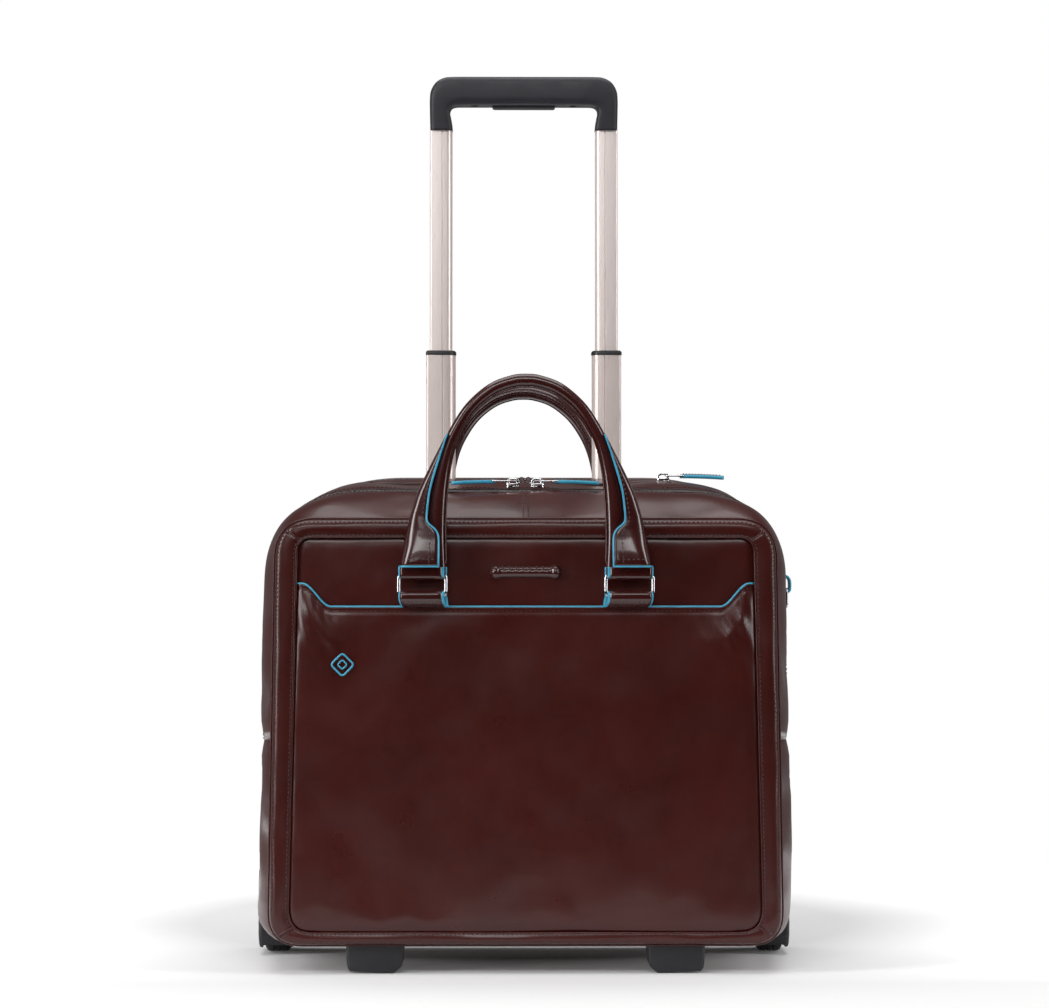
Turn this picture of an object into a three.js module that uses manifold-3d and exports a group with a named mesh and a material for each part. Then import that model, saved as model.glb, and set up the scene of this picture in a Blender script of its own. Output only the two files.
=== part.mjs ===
// A rolling laptop case: a leather two-compartment briefcase on two wheels and two front feet, with
// a telescopic trolley handle, two ring-mounted carry handles and a main zip that ends half-way down
// each side. With the zip undone, the upper half of the front folds forward.
//
// Millimetres, +Z up, +X to the case's left-to-right, -Y is the front. The origin is on the floor
// under the middle of the case.

import * as THREE from "three";
import { mergeVertices } from "three/addons/utils/BufferGeometryUtils.js";
import Module from "manifold-3d";

const wasm = await Module();
wasm.setup();

// ---------------------------------------------------------------- driving dimensions

const GAP = 0.3; // between touching pieces
const LEATHER = 3; // leather, foam and lining together
const SEAM_Z = 179; // the side seams, where the main zip ends and the front folds

const RIM_Y = -90; // back of the front frame, and the opening hinge
const FRAME_FRONT_Y = -96.5;
const ZIP_FRONT_Y = -34; // front edge of the main zip
const ZIP_Y = -30; // the main zip's meeting line
const ZIP_BACK_Y = -26;
const BACK_Y = 90; // back of the body gusset
const BACK_PANEL = 4;

const BASE_Z = 21.5; // underside of the leather

// Cross-sections of the leather body from front to back.
const STATIONS = [
  { y: RIM_Y, bottomHalf: 199, topHalf: 194, top: 351, bottomRadius: 26, topRadius: 32 },
  { y: -62, bottomHalf: 207, topHalf: 202, top: 366, bottomRadius: 28, topRadius: 62 },
  { y: ZIP_Y, bottomHalf: 209.5, topHalf: 204, top: 376, bottomRadius: 28, topRadius: 80 },
  { y: 22, bottomHalf: 210.5, topHalf: 204.5, top: 382, bottomRadius: 28, topRadius: 96 },
  { y: BACK_Y, bottomHalf: 207, topHalf: 202, top: 386, bottomRadius: 28, topRadius: 104 },
];

// The front face: a padded frame round a flat panel, and a slip pocket over its lower part.
const PANEL = { bottomHalf: 182, topHalf: 175, bottom: 33, top: 335, bottomRadius: 18, topRadius: 11 };
const PANEL_FRONT_Y = -94;
const POCKET_FRONT_Y = -97.6;
const POCKET = { edge: 282.6, end: 301, stepIn: 153, stepOut: 167 };

// The carry handles, their rings and the loops that hold the rings.
const HANDLE_X = 79.5;
const RING = { width: 39, height: 19, wire: 2.8, lowerBar: 291, upperBar: 307.2 };
const RING_Y = -104.3; // of the front rings' plane
const BACK_RING_Y = -RING_Y;
const STRAP = { width: 32, depth: 8, bore: 2.1 };
const HANDLE_DEPTH = 11;

// The trolley handle.
const TUBE_X = 68;
const TUBE_Y = 76;
const TUBES = {
  inner: { width: 18.5, depth: 12, wall: 1.3, low: 322, high: 690 },
  middle: { width: 24, depth: 17, wall: 1.4, low: 136, high: 488 },
  fixed: { width: 29.6, depth: 22, wall: 1.4, low: 34.5, high: 374 },
};
const COLLAR = { width: 25, depth: 18, low: 488.3, high: 491.8 };
const GRIP = { half: 77.5, low: 673.5, under: 693.6, top: 717.8, depth: 24, leg: 19 };
const RELEASE_Z = 702; // underside of the release yoke

// Wheels and feet.
const WHEEL = { x: 200.5, y: 72, radius: 30, width: 20, hub: 21.7, axle: 4 };
const HOUSING = { innerX: 186.5, outerX: 214.5, cheek: 3, radius: 35.5, cavity: 32.5, lip: 6 };
const HOUSING_BOX = { front: 33, top: 71 };
const FOOT = { x: 116, topHalf: 22.5, bottomHalf: 20, front: -87, back: -50 };

// ---------------------------------------------------------------- materials

const material = (colour, roughness, metalness = 0) =>
  new THREE.MeshStandardMaterial({ color: colour, roughness, metalness });

const leather = material(0x44201e, 0.38);
const lining = material(0x2c5a72, 0.9);
const stiffener = material(0x26262a, 0.8);
const plastic = material(0x2a292d, 0.55);
const gripPlastic = material(0x343338, 0.6);
const rubber = material(0x1b1b1e, 0.8);
const aluminium = material(0xd6cbc8, 0.32, 0.9);
const steel = material(0xd2d2d4, 0.22, 1);
const zipTape = material(0x2a1715, 0.85);
const turquoise = material(0x49b4d2, 0.45);

// ---------------------------------------------------------------- shapes and solids

const CORNER_STEPS = 6;

// A four-sided outline with rounded corners, its sides leaning in from bottomHalf to topHalf.
function outline({ bottomHalf, topHalf, bottom = BASE_Z, top, bottomRadius, topRadius }) {
  const shape = new THREE.Shape();
  const lean = (bottomHalf - topHalf) / (top - bottom);
  const halfAt = (z) => bottomHalf - lean * (z - bottom);
  shape.moveTo(-bottomHalf + bottomRadius, bottom);
  shape.lineTo(bottomHalf - bottomRadius, bottom);
  shape.quadraticCurveTo(bottomHalf, bottom, halfAt(bottom + bottomRadius), bottom + bottomRadius);
  shape.lineTo(halfAt(top - topRadius), top - topRadius);
  shape.quadraticCurveTo(topHalf, top, topHalf - topRadius, top);
  shape.lineTo(-topHalf + topRadius, top);
  shape.quadraticCurveTo(-topHalf, top, -halfAt(top - topRadius), top - topRadius);
  shape.lineTo(-halfAt(bottom + bottomRadius), bottom + bottomRadius);
  shape.quadraticCurveTo(-bottomHalf, bottom, -bottomHalf + bottomRadius, bottom);
  return shape;
}

// The same outline, smaller all round by an inset.
function inset(section, by) {
  const bottom = section.bottom ?? BASE_Z;
  return {
    ...section,
    bottomHalf: section.bottomHalf - by,
    topHalf: section.topHalf - by,
    bottom: bottom + by,
    top: section.top - by,
    bottomRadius: Math.max(1, section.bottomRadius - by),
    topRadius: Math.max(1, section.topRadius - by),
  };
}

function roundedRectangle(width, height, radius, centreX = 0, centreY = 0) {
  const [x, y] = [centreX - width / 2, centreY - height / 2];
  const shape = new THREE.Shape();
  shape.moveTo(x + radius, y);
  shape.lineTo(x + width - radius, y);
  shape.absarc(x + width - radius, y + radius, radius, -Math.PI / 2, 0);
  shape.lineTo(x + width, y + height - radius);
  shape.absarc(x + width - radius, y + height - radius, radius, 0, Math.PI / 2);
  shape.lineTo(x + radius, y + height);
  shape.absarc(x + radius, y + height - radius, radius, Math.PI / 2, Math.PI);
  shape.lineTo(x, y + radius);
  shape.absarc(x + radius, y + radius, radius, Math.PI, 1.5 * Math.PI);
  return shape;
}

function circle(radius, x = 0, y = 0) {
  const shape = new THREE.Shape();
  shape.absarc(x, y, radius, 0, 2 * Math.PI);
  return shape;
}

function extrude(shape, depth, { bevel = 0, steps = CORNER_STEPS, rounds = 2 } = {}) {
  const geometry = new THREE.ExtrudeGeometry(shape, {
    depth: depth - 2 * bevel,
    curveSegments: steps,
    bevelEnabled: bevel > 0,
    bevelThickness: bevel,
    bevelSize: bevel,
    bevelOffset: -bevel,
    bevelSegments: rounds,
  });
  return geometry.translate(0, 0, bevel);
}

// A shape drawn in X and Z, standing from the plane yFront to the plane yBack.
const standing = (shape, yFront, yBack, options) =>
  extrude(shape, yBack - yFront, options).rotateX(Math.PI / 2).translate(0, yBack, 0);

// A shape drawn in X and Y, lying from the level low to the level high.
const lying = (shape, low, high, options) => extrude(shape, high - low, options).translate(0, 0, low);

// A shape drawn in Y and Z, reaching from xLow to xHigh.
function across(shape, xLow, xHigh, options) {
  const turn = new THREE.Matrix4().makeBasis(
    new THREE.Vector3(0, 1, 0),
    new THREE.Vector3(0, 0, 1),
    new THREE.Vector3(1, 0, 0),
  );
  return extrude(shape, xHigh - xLow, options).applyMatrix4(turn).translate(xLow, 0, 0);
}

function box(x0, x1, y0, y1, z0, z1) {
  const geometry = new THREE.BoxGeometry(x1 - x0, y1 - y0, z1 - z0);
  return geometry.translate((x0 + x1) / 2, (y0 + y1) / 2, (z0 + z1) / 2);
}

// A rod along X.
function rodX(radius, x0, x1, y, z, sides = 20) {
  const geometry = new THREE.CylinderGeometry(radius, radius, x1 - x0, sides);
  return geometry.rotateZ(Math.PI / 2).translate((x0 + x1) / 2, y, z);
}

function solid(geometry) {
  const bare = geometry.index ? geometry.toNonIndexed() : geometry.clone();
  bare.deleteAttribute("normal");
  bare.deleteAttribute("uv");
  const merged = mergeVertices(bare, 1e-3);
  return new wasm.Manifold(
    new wasm.Mesh({
      numProp: 3,
      vertProperties: merged.attributes.position.array,
      triVerts: new Uint32Array(merged.index.array),
    }),
  );
}

function geometryOf(manifold) {
  const mesh = manifold.getMesh();
  const geometry = new THREE.BufferGeometry();
  geometry.setAttribute("position", new THREE.BufferAttribute(mesh.vertProperties, 3));
  geometry.setIndex(new THREE.BufferAttribute(mesh.triVerts, 1));
  geometry.computeVertexNormals();
  return geometry;
}

const cut = (geometry, ...tools) =>
  geometryOf(tools.reduce((whole, tool) => whole.subtract(solid(tool)), solid(geometry)));
const keep = (geometry, region) => geometryOf(solid(geometry).intersect(solid(region)));
const join = (first, ...others) =>
  geometryOf(others.reduce((whole, other) => whole.add(solid(other)), solid(first)));

// ---------------------------------------------------------------- the leather body's skin

// The cross-section of the body at any depth, between the two nearest stations.
function sectionAt(y) {
  const after = Math.max(1, STATIONS.findIndex((s) => s.y >= y));
  const [a, b] = [STATIONS[after - 1], STATIONS[after]];
  const t = (y - a.y) / (b.y - a.y);
  const blend = (key) => a[key] + (b[key] - a[key]) * t;
  return {
    y,
    bottomHalf: blend("bottomHalf"),
    topHalf: blend("topHalf"),
    top: blend("top"),
    bottomRadius: blend("bottomRadius"),
    topRadius: blend("topRadius"),
  };
}

// A band of the skin from one depth to another: outer loops front to back, then inner loops back
// to front, joined into one closed ring.
function skin(yFront, yBack, wall, sink = 0) {
  const between = STATIONS.map((s) => s.y).filter((y) => y > yFront && y < yBack);
  const depths = [yFront, ...between, yBack];
  const loop = (y, by) =>
    outline(inset(sectionAt(y), by))
      .getPoints(CORNER_STEPS)
      .slice(0, -1)
      .map((p) => [p.x, y, p.y]);
  const loops = [
    ...depths.map((y) => loop(y, sink)),
    ...[...depths].reverse().map((y) => loop(y, sink + wall)),
  ];
  const [rows, columns] = [loops.length, loops[0].length];
  const index = [];
  for (let r = 0; r < rows; r++)
    for (let c = 0; c < columns; c++) {
      const [r2, c2] = [(r + 1) % rows, (c + 1) % columns];
      const [p, q, s, t] = [r * columns + c, r * columns + c2, r2 * columns + c2, r2 * columns + c];
      index.push(p, s, q, p, t, s);
    }
  const geometry = new THREE.BufferGeometry();
  geometry.setAttribute("position", new THREE.Float32BufferAttribute(loops.flat(2), 3));
  geometry.setIndex(index);
  return geometry;
}

const FAR = 500;
const aboveSeam = box(-FAR, FAR, -FAR, FAR, SEAM_Z + GAP, FAR);
const belowSeam = box(-FAR, FAR, -FAR, FAR, -FAR, SEAM_Z);

const group = new THREE.Group();

function add(name, geometry, finish, parent = group) {
  const mesh = new THREE.Mesh(geometry, finish);
  mesh.name = name;
  parent.add(mesh);
  return mesh;
}

const SIDES = [
  ["left", -1],
  ["right", 1],
];

// ---------------------------------------------------------------- body

// The pockets in the lower back corners that the wheel housings sit in.
const housingRoom = SIDES.map(([, s]) => {
  const [a, b] = [s * (HOUSING.innerX - GAP), s * FAR];
  return box(Math.min(a, b), Math.max(a, b), HOUSING_BOX.front - GAP, FAR, -FAR, HOUSING_BOX.top + GAP);
});

const BEZEL = { half: 92, front: 60, low: 376.5, high: 382.5 };
const LAPTOP_ZIP = { left: -126, right: 120, front: 18, back: 26, tapeLow: 379.3, tapeHigh: 380.8 };
const bezelRoom = box(-BEZEL.half, BEZEL.half, BEZEL.front, FAR, 360, FAR);
const laptopZipRoom = box(LAPTOP_ZIP.left, LAPTOP_ZIP.right, LAPTOP_ZIP.front, LAPTOP_ZIP.back, 360, FAR);

const FLOOR = { width: 342, depth: 172, y: 2, top: 27.5 };
const TUBE_SOCKET = { half: 88, depth: 24 };
const BACK_BOARD = { half: 178, bottom: 28.5, top: 371.5, bottomRadius: 24, topRadius: 95, front: 60.3, thick: 2 };
const DIVIDER = { half: 198, bottom: 42, top: 338, bottomRadius: 30, topRadius: 70, front: 8, thick: 6 };

function addBody() {
  add("base_gusset", cut(keep(skin(RIM_Y, BACK_Y, LEATHER), belowSeam), ...housingRoom), leather);
  add(
    "rear_gusset",
    cut(keep(skin(ZIP_BACK_Y, BACK_Y, LEATHER), aboveSeam), bezelRoom, laptopZipRoom),
    leather,
  );
  const back = outline(inset(STATIONS.at(-1), 0.5));
  const panel = standing(back, BACK_Y + GAP, BACK_Y + BACK_PANEL, { bevel: 1 });
  add("back_panel", cut(panel, ...housingRoom), leather);

  const floorShape = roundedRectangle(FLOOR.width, FLOOR.depth, 8, 0, FLOOR.y);
  const floor = lying(floorShape, BASE_Z + LEATHER + GAP, FLOOR.top, { steps: 3 });
  const [near, far] = [TUBE_Y - TUBE_SOCKET.depth / 2, TUBE_Y + TUBE_SOCKET.depth / 2];
  const socketTop = TUBES.fixed.low - GAP;
  const socket = box(-TUBE_SOCKET.half, TUBE_SOCKET.half, near, far, FLOOR.top - 1, socketTop);
  add("base_board", join(floor, socket), stiffener);
  for (const [name, board, finish] of [
    ["inner_back_board", BACK_BOARD, stiffener],
    ["laptop_divider", DIVIDER, lining],
  ]) {
    const shape = outline({ ...board, bottomHalf: board.half, topHalf: board.half });
    add(name, standing(shape, board.front, board.front + board.thick, { steps: 5 }), finish);
  }

  add("zip_tape_rear", keep(skin(ZIP_Y + GAP / 2, ZIP_BACK_Y - GAP, 1.5, 0.8), aboveSeam), zipTape);
  add(
    "laptop_zip_tape",
    box(
      LAPTOP_ZIP.left + GAP,
      LAPTOP_ZIP.right - GAP,
      LAPTOP_ZIP.front + GAP,
      LAPTOP_ZIP.back - GAP,
      LAPTOP_ZIP.tapeLow,
      LAPTOP_ZIP.tapeHigh,
    ),
    zipTape,
  );
}

// A leather tab sewn to the right side above a fold that holds a small ring.
const SIDE_LOOP = { y: 0, z: 296, top: 307, width: 12, fold: 3.2, bore: 1.5 };
const SIDE_RING = { width: 17, height: 16, wire: 1.8 };

function addSideLoop() {
  const { y, z, top, width, fold, bore } = SIDE_LOOP;
  const face = sectionAt(y);
  const lean = (face.bottomHalf - face.topHalf) / (face.top - BASE_Z);
  const faceX = face.bottomHalf - lean * (z - fold - BASE_Z) + GAP;
  const barX = faceX + fold;
  const wrap = standing(circle(fold, barX, z), y - width / 2, y + width / 2);
  const tail = box(faceX, faceX + 3.6, y - width / 2, y + width / 2, z, top);
  const hole = standing(circle(bore, barX, z), y - width, y + width, { steps: 4 });
  add("side_loop", cut(join(wrap, tail), hole), leather);

  const { width: ringWidth, height, wire } = SIDE_RING;
  const centre = -(height - wire) / 2;
  const shape = roundedRectangle(ringWidth, height, 3, 0, centre);
  shape.holes.push(roundedRectangle(ringWidth - 2 * wire, height - 2 * wire, 1.4, 0, centre));
  const bent = across(shape, -wire / 2, wire / 2, { bevel: 0.4, rounds: 1, steps: 3 });
  const ring = add("side_ring", bent, steel);
  ring.position.set(barX, y, z);
}

// ---------------------------------------------------------------- front cover

// Each layer of the front is one sheet of leather on the real case. It folds at the side seams'
// level, so its lower half belongs to the body and its upper half to the cover.
function addFront(cover) {
  const frameShape = outline({ ...STATIONS[0] });
  frameShape.holes.push(outline(PANEL));
  const frame = standing(frameShape, FRAME_FRONT_Y, RIM_Y - GAP, { bevel: 2.6 });
  const panel = standing(outline(inset(PANEL, GAP)), PANEL_FRONT_Y, RIM_Y - GAP);
  const pocket = standing(pocketShape(), POCKET_FRONT_Y, PANEL_FRONT_Y - GAP, { bevel: 0.8, rounds: 1 });
  for (const [name, geometry] of [
    ["front_frame", frame],
    ["front_panel", panel],
    ["front_pocket", pocket],
  ]) {
    add(name + "_lower", keep(geometry, belowSeam), leather);
    add(name + "_upper", keep(geometry, aboveSeam), leather, cover);
  }

  add("front_gusset", keep(skin(RIM_Y, ZIP_FRONT_Y, LEATHER), aboveSeam), leather, cover);
  const tape = skin(ZIP_FRONT_Y + GAP, ZIP_Y - GAP / 2, 1.5, 0.8);
  add("zip_tape_front", keep(tape, aboveSeam), zipTape, cover);

  const bar = roundedRectangle(54.6, 10, 4.9, -0.3, 309);
  const raised = standing(bar, PANEL_FRONT_Y - 4, PANEL_FRONT_Y - GAP, { bevel: 1.5, rounds: 1, steps: 4 });
  add("name_bar", raised, leather, cover);
}

// The slip pocket: the panel's lower part, its top edge stepping up near both ends.
function pocketShape() {
  const side = inset(PANEL, 1.2);
  const lean = (side.bottomHalf - side.topHalf) / (side.top - side.bottom);
  const halfAt = (z) => side.bottomHalf - lean * (z - side.bottom);
  const { edge, end, stepIn, stepOut } = POCKET;
  const middle = (stepIn + stepOut) / 2;
  const level = (edge + end) / 2;
  const shape = new THREE.Shape();
  shape.moveTo(-side.bottomHalf + side.bottomRadius, side.bottom);
  shape.lineTo(side.bottomHalf - side.bottomRadius, side.bottom);
  shape.quadraticCurveTo(
    side.bottomHalf,
    side.bottom,
    halfAt(side.bottom + side.bottomRadius),
    side.bottom + side.bottomRadius,
  );
  shape.lineTo(halfAt(end), end);
  shape.lineTo(stepOut + 2, end);
  shape.quadraticCurveTo(middle + 2, end, middle, level);
  shape.quadraticCurveTo(middle - 3, edge, stepIn - 6, edge);
  shape.lineTo(-stepIn + 6, edge);
  shape.quadraticCurveTo(-middle + 3, edge, -middle, level);
  shape.quadraticCurveTo(-middle - 2, end, -stepOut - 2, end);
  shape.lineTo(-halfAt(end), end);
  shape.lineTo(-halfAt(side.bottom + side.bottomRadius), side.bottom + side.bottomRadius);
  shape.quadraticCurveTo(-side.bottomHalf, side.bottom, -side.bottomHalf + side.bottomRadius, side.bottom);
  return shape;
}

// ---------------------------------------------------------------- carry handles

// A rectangular wire ring standing in the plane y = 0.
function ringGeometry() {
  const { width, height, wire, lowerBar, upperBar } = RING;
  const level = (lowerBar + upperBar) / 2;
  const shape = roundedRectangle(width, height, 4, 0, level);
  shape.holes.push(roundedRectangle(width - 2 * wire, height - 2 * wire, 2.2, 0, level));
  return standing(shape, -wire / 2, wire / 2, { bevel: 0.8, steps: 3, rounds: 1 });
}

// The loop sewn to the case: it holds the ring's lower bar. backward is the way to the face.
function anchorGeometry(backward, reach) {
  const { width, depth, bore } = STRAP;
  const low = POCKET.edge + GAP;
  const wrap = roundedRectangle(depth, 8.4, 3.6, 0, RING.lowerBar);
  const tail = roundedRectangle(reach + depth / 2, 5.4, 1, (backward * (reach - depth / 2)) / 2, low + 2.7);
  const strap = join(across(wrap, -width / 2, width / 2), across(tail, -width / 2, width / 2));
  return cut(strap, rodX(bore, -width, width, 0, RING.lowerBar));
}

// The arch of a handle with the two loops that hold the rings' upper bars.
function handleGeometry() {
  const outer = [
    [HANDLE_X + 16, 313.5],
    [HANDLE_X + 12.5, 338],
    [HANDLE_X + 2, 372],
    [64, 405],
    [54, 425],
    [33, 450],
  ];
  const inner = [
    [HANDLE_X - 16, 313.5],
    [HANDLE_X - 17, 338],
    [60.5, 372],
    [55, 403],
    [45, 420],
    [27, 440],
  ];
  const mirrored = (points) => points.map(([x, z]) => [-x, z]).reverse();
  const curve = (points) => new THREE.SplineCurve(points.map(([x, z]) => new THREE.Vector2(x, z)));
  const over = curve([...outer, [0, 461], ...mirrored(outer)]).getPoints(30);
  const under = curve([...inner, [0, 450], ...mirrored(inner)]).getPoints(30);
  const shape = new THREE.Shape([...over, ...under.reverse()]);
  const arch = standing(shape, -HANDLE_DEPTH / 2, HANDLE_DEPTH / 2, { bevel: 2.5, rounds: 1 });

  const loops = SIDES.map(([, side]) => {
    const wrap = roundedRectangle(STRAP.depth, 12, 3.6, 0, RING.upperBar + 2);
    return across(wrap, side * HANDLE_X - STRAP.width / 2, side * HANDLE_X + STRAP.width / 2);
  });
  const bore = rodX(STRAP.bore, -FAR, FAR, 0, RING.upperBar);
  return cut(join(arch, ...loops), bore);
}

function addCarryHandle(place, y, backward, reach, anchorParent) {
  const handle = new THREE.Group();
  handle.position.y = y;
  group.add(handle);
  add(place + "_handle", handleGeometry(), leather, handle);
  for (const [name, side] of SIDES) {
    const ring = add(`${place}_ring_${name}`, ringGeometry(), steel, handle);
    ring.position.x = side * HANDLE_X;
    const anchor = add(`${place}_anchor_${name}`, anchorGeometry(backward, reach), leather, anchorParent);
    anchor.position.set(side * HANDLE_X, y, 0);
  }
}

// ---------------------------------------------------------------- trolley handle

function tube({ width, depth, wall, low, high }, corner) {
  const shape = roundedRectangle(width, depth, corner);
  shape.holes.push(roundedRectangle(width - 2 * wall, depth - 2 * wall, corner - wall));
  return lying(shape, low, high, { steps: 4 });
}

function gripGeometry() {
  const { half, low, under, top, depth, leg } = GRIP;
  const CORNER = 15;
  const INNER_CORNER = 5;
  const FLARE = 2.5;
  const shape = new THREE.Shape();
  const legIn = half - leg;
  shape.moveTo(half, low);
  shape.lineTo(half, top - CORNER);
  shape.quadraticCurveTo(half, top, half - CORNER, top);
  shape.lineTo(-half + CORNER, top);
  shape.quadraticCurveTo(-half, top, -half, top - CORNER);
  shape.lineTo(-half, low);
  shape.lineTo(-legIn, low);
  shape.lineTo(-legIn - FLARE, under - INNER_CORNER);
  shape.quadraticCurveTo(-legIn - FLARE, under, -legIn - FLARE + INNER_CORNER, under);
  shape.lineTo(legIn + FLARE - INNER_CORNER, under);
  shape.quadraticCurveTo(legIn + FLARE, under, legIn + FLARE, under - INNER_CORNER);
  shape.lineTo(legIn, low);
  const block = standing(shape, -depth / 2, depth / 2, { bevel: 3, rounds: 3 });

  // Room for the tubes' ends, for the yoke with its travel, and for the button under the bar.
  const { width, depth: tubeDepth, high } = TUBES.inner;
  const sockets = SIDES.map(([, side]) => {
    const socket = roundedRectangle(width + 2 * GAP, tubeDepth + 2 * GAP, 4.5, side * TUBE_X);
    return lying(socket, low - 10, high + GAP, { steps: 4 });
  });
  const channel = box(-72.5, 72.5, -4, 4, high - 1, RELEASE_Z + 8.5);
  const slot = box(-26.5, 26.5, -5, 5, under - 10, RELEASE_Z + 4.5);
  return cut(block, ...sockets, channel, slot);
}

function addTrolley() {
  const trolley = new THREE.Group();
  trolley.position.y = TUBE_Y;
  group.add(trolley);

  const bezel = roundedRectangle(2 * (BEZEL.half - GAP), 29, 4, 0, BEZEL.front + GAP + 14.5 - TUBE_Y);
  for (const [, side] of SIDES) bezel.holes.push(roundedRectangle(25, 18, 6, side * TUBE_X, 0));
  add("top_bezel", lying(bezel, BEZEL.low, BEZEL.high, { steps: 3 }), plastic, trolley);

  for (const [name, side] of SIDES) {
    const leg = new THREE.Group();
    leg.position.x = side * TUBE_X;
    trolley.add(leg);
    const hole = rodX(2.9, Math.min(0, side * 12), Math.max(0, side * 12), 0, 330, 12);
    add("fixed_tube_" + name, tube(TUBES.fixed, 7), aluminium, leg);
    add("middle_tube_" + name, tube(TUBES.middle, 6), aluminium, leg);
    add("inner_tube_" + name, cut(tube(TUBES.inner, 4.2), hole), aluminium, leg);

    const collar = roundedRectangle(COLLAR.width, COLLAR.depth, 6.3);
    collar.holes.push(roundedRectangle(TUBES.inner.width + 0.7, TUBES.inner.depth + 0.7, 4.5));
    add("collar_" + name, lying(collar, COLLAR.low, COLLAR.high, { steps: 4 }), plastic, leg);

    add("release_rod_" + name, box(-1.5, 1.5, -1.5, 1.5, 337, RELEASE_Z - GAP), steel, leg);
    const reach = [side * 2, side * (TUBES.inner.width / 2 + 0.8)];
    add("lock_pin_" + name, rodX(2.4, Math.min(...reach), Math.max(...reach), 0, 330, 12), steel, leg);
  }

  add("grip", gripGeometry(), gripPlastic, trolley);
  const button = standing(roundedRectangle(52, 11, 2, 0, GRIP.under + 3.5), -4.4, 4.4, { steps: 2 });
  const yoke = box(-71, 71, -3, 3, RELEASE_Z, RELEASE_Z + 4);
  const stem = box(-20, 20, -3, 3, RELEASE_Z - 5, RELEASE_Z + 2);
  add("release_button", join(button, yoke, stem), plastic, trolley);
}

// ---------------------------------------------------------------- wheels and feet

// A corner housing: a fender round the wheel between two cheeks, open below and behind.
function housingGeometry(side) {
  const { innerX, outerX, cheek, radius, cavity, lip } = HOUSING;
  const [y, z] = [WHEEL.y, WHEEL.radius];
  const profile = new THREE.Shape();
  profile.moveTo(HOUSING_BOX.front + 8, lip);
  profile.lineTo(HOUSING_BOX.front, lip + 10);
  profile.lineTo(HOUSING_BOX.front, HOUSING_BOX.top - 4);
  profile.lineTo(HOUSING_BOX.front + 4, HOUSING_BOX.top);
  profile.lineTo(y + 12, HOUSING_BOX.top);
  profile.quadraticCurveTo(y + radius - 8, HOUSING_BOX.top - 4, y + radius - 6, z + 22);
  profile.lineTo(y + radius - 14, lip);
  const [low, high] = side < 0 ? [-outerX, -innerX] : [innerX, outerX];
  const block = across(profile, low, high, { bevel: 2.5 });
  const inside = [
    rodX(cavity, low + cheek, high - cheek, y, z, 32),
    box(low + cheek, high - cheek, y - cavity, y + FAR, -FAR, z),
    rodX(WHEEL.axle + GAP, low - 1, high + 1, y, z, 16),
  ];
  return cut(block, ...inside);
}

// The wheel's parts turn on X; each profile is a closed loop of [radius, along the axle].
function turned(points) {
  const profile = [...points, points[0]].map(([r, x]) => new THREE.Vector2(r, x));
  return new THREE.LatheGeometry(profile, 32).rotateZ(-Math.PI / 2);
}

function addWheelsAndFeet() {
  const { x, y, radius, width, hub, axle } = WHEEL;
  const half = width / 2;
  for (const [name, side] of SIDES) {
    add("wheel_housing_" + name, housingGeometry(side), plastic);
    const wheel = new THREE.Group();
    wheel.position.set(side * x, y, radius);
    group.add(wheel);
    const tread = [
      [hub + GAP, -half + 1],
      [radius - 2.5, -half],
      [radius, -half + 3],
      [radius, half - 3],
      [radius - 2.5, half],
      [hub + GAP, half - 1],
    ];
    add("tyre_" + name, turned(tread), rubber, wheel);
    const spool = [
      [axle + 0.5, -8.5],
      [8, -8.5],
      [hub - 4, -5],
      [hub, -8],
      [hub, 8],
      [hub - 4, 5],
      [8, 8.5],
      [axle + 0.5, 8.5],
    ];
    add("hub_" + name, turned(spool), plastic, wheel);
    const ends = [side * (HOUSING.innerX + 0.5 - x), side * (HOUSING.outerX - 0.4 - x)];
    add("axle_" + name, rodX(axle, Math.min(...ends), Math.max(...ends), 0, 0, 16), steel, wheel);

    const shape = new THREE.Shape();
    const top = BASE_Z - GAP;
    const centre = side * FOOT.x;
    shape.moveTo(centre - FOOT.topHalf, top);
    shape.lineTo(centre - FOOT.bottomHalf, 5);
    shape.quadraticCurveTo(centre - FOOT.bottomHalf, 0, centre - FOOT.bottomHalf + 5, 0);
    shape.lineTo(centre + FOOT.bottomHalf - 5, 0);
    shape.quadraticCurveTo(centre + FOOT.bottomHalf, 0, centre + FOOT.bottomHalf, 5);
    shape.lineTo(centre + FOOT.topHalf, top);
    add("foot_" + name, standing(shape, FOOT.front, FOOT.back, { bevel: 1.5 }), rubber);
  }
}

// ---------------------------------------------------------------- zip sliders and pulls

// A slider facing +X with its pull lying flat along +X. The origin is on the tape at its middle.
const SLIDER = { half: 5, width: 7, high: 4, bridge: 6.9, barX: 2.2, barZ: 4.9 };
const PULL = { wire: 1, linkWidth: 5.4, strapFrom: 9.5, strapTo: 47, strapWidth: 6.5 };

function sliderGeometry() {
  const { half, width, high, bridge, barX, barZ } = SLIDER;
  const body = lying(roundedRectangle(2 * half, width, 2), 0, high, { steps: 3 });
  const arch = new THREE.Shape();
  arch.moveTo(-1, high - 1);
  arch.lineTo(4.8, high - 1);
  arch.quadraticCurveTo(5, bridge, 2, bridge);
  arch.lineTo(-1, bridge - 0.4);
  arch.holes.push(roundedRectangle(2.2, 1.6, 0.6, barX, barZ));
  return join(body, standing(arch, -1, 1, { steps: 3 }));
}

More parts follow.
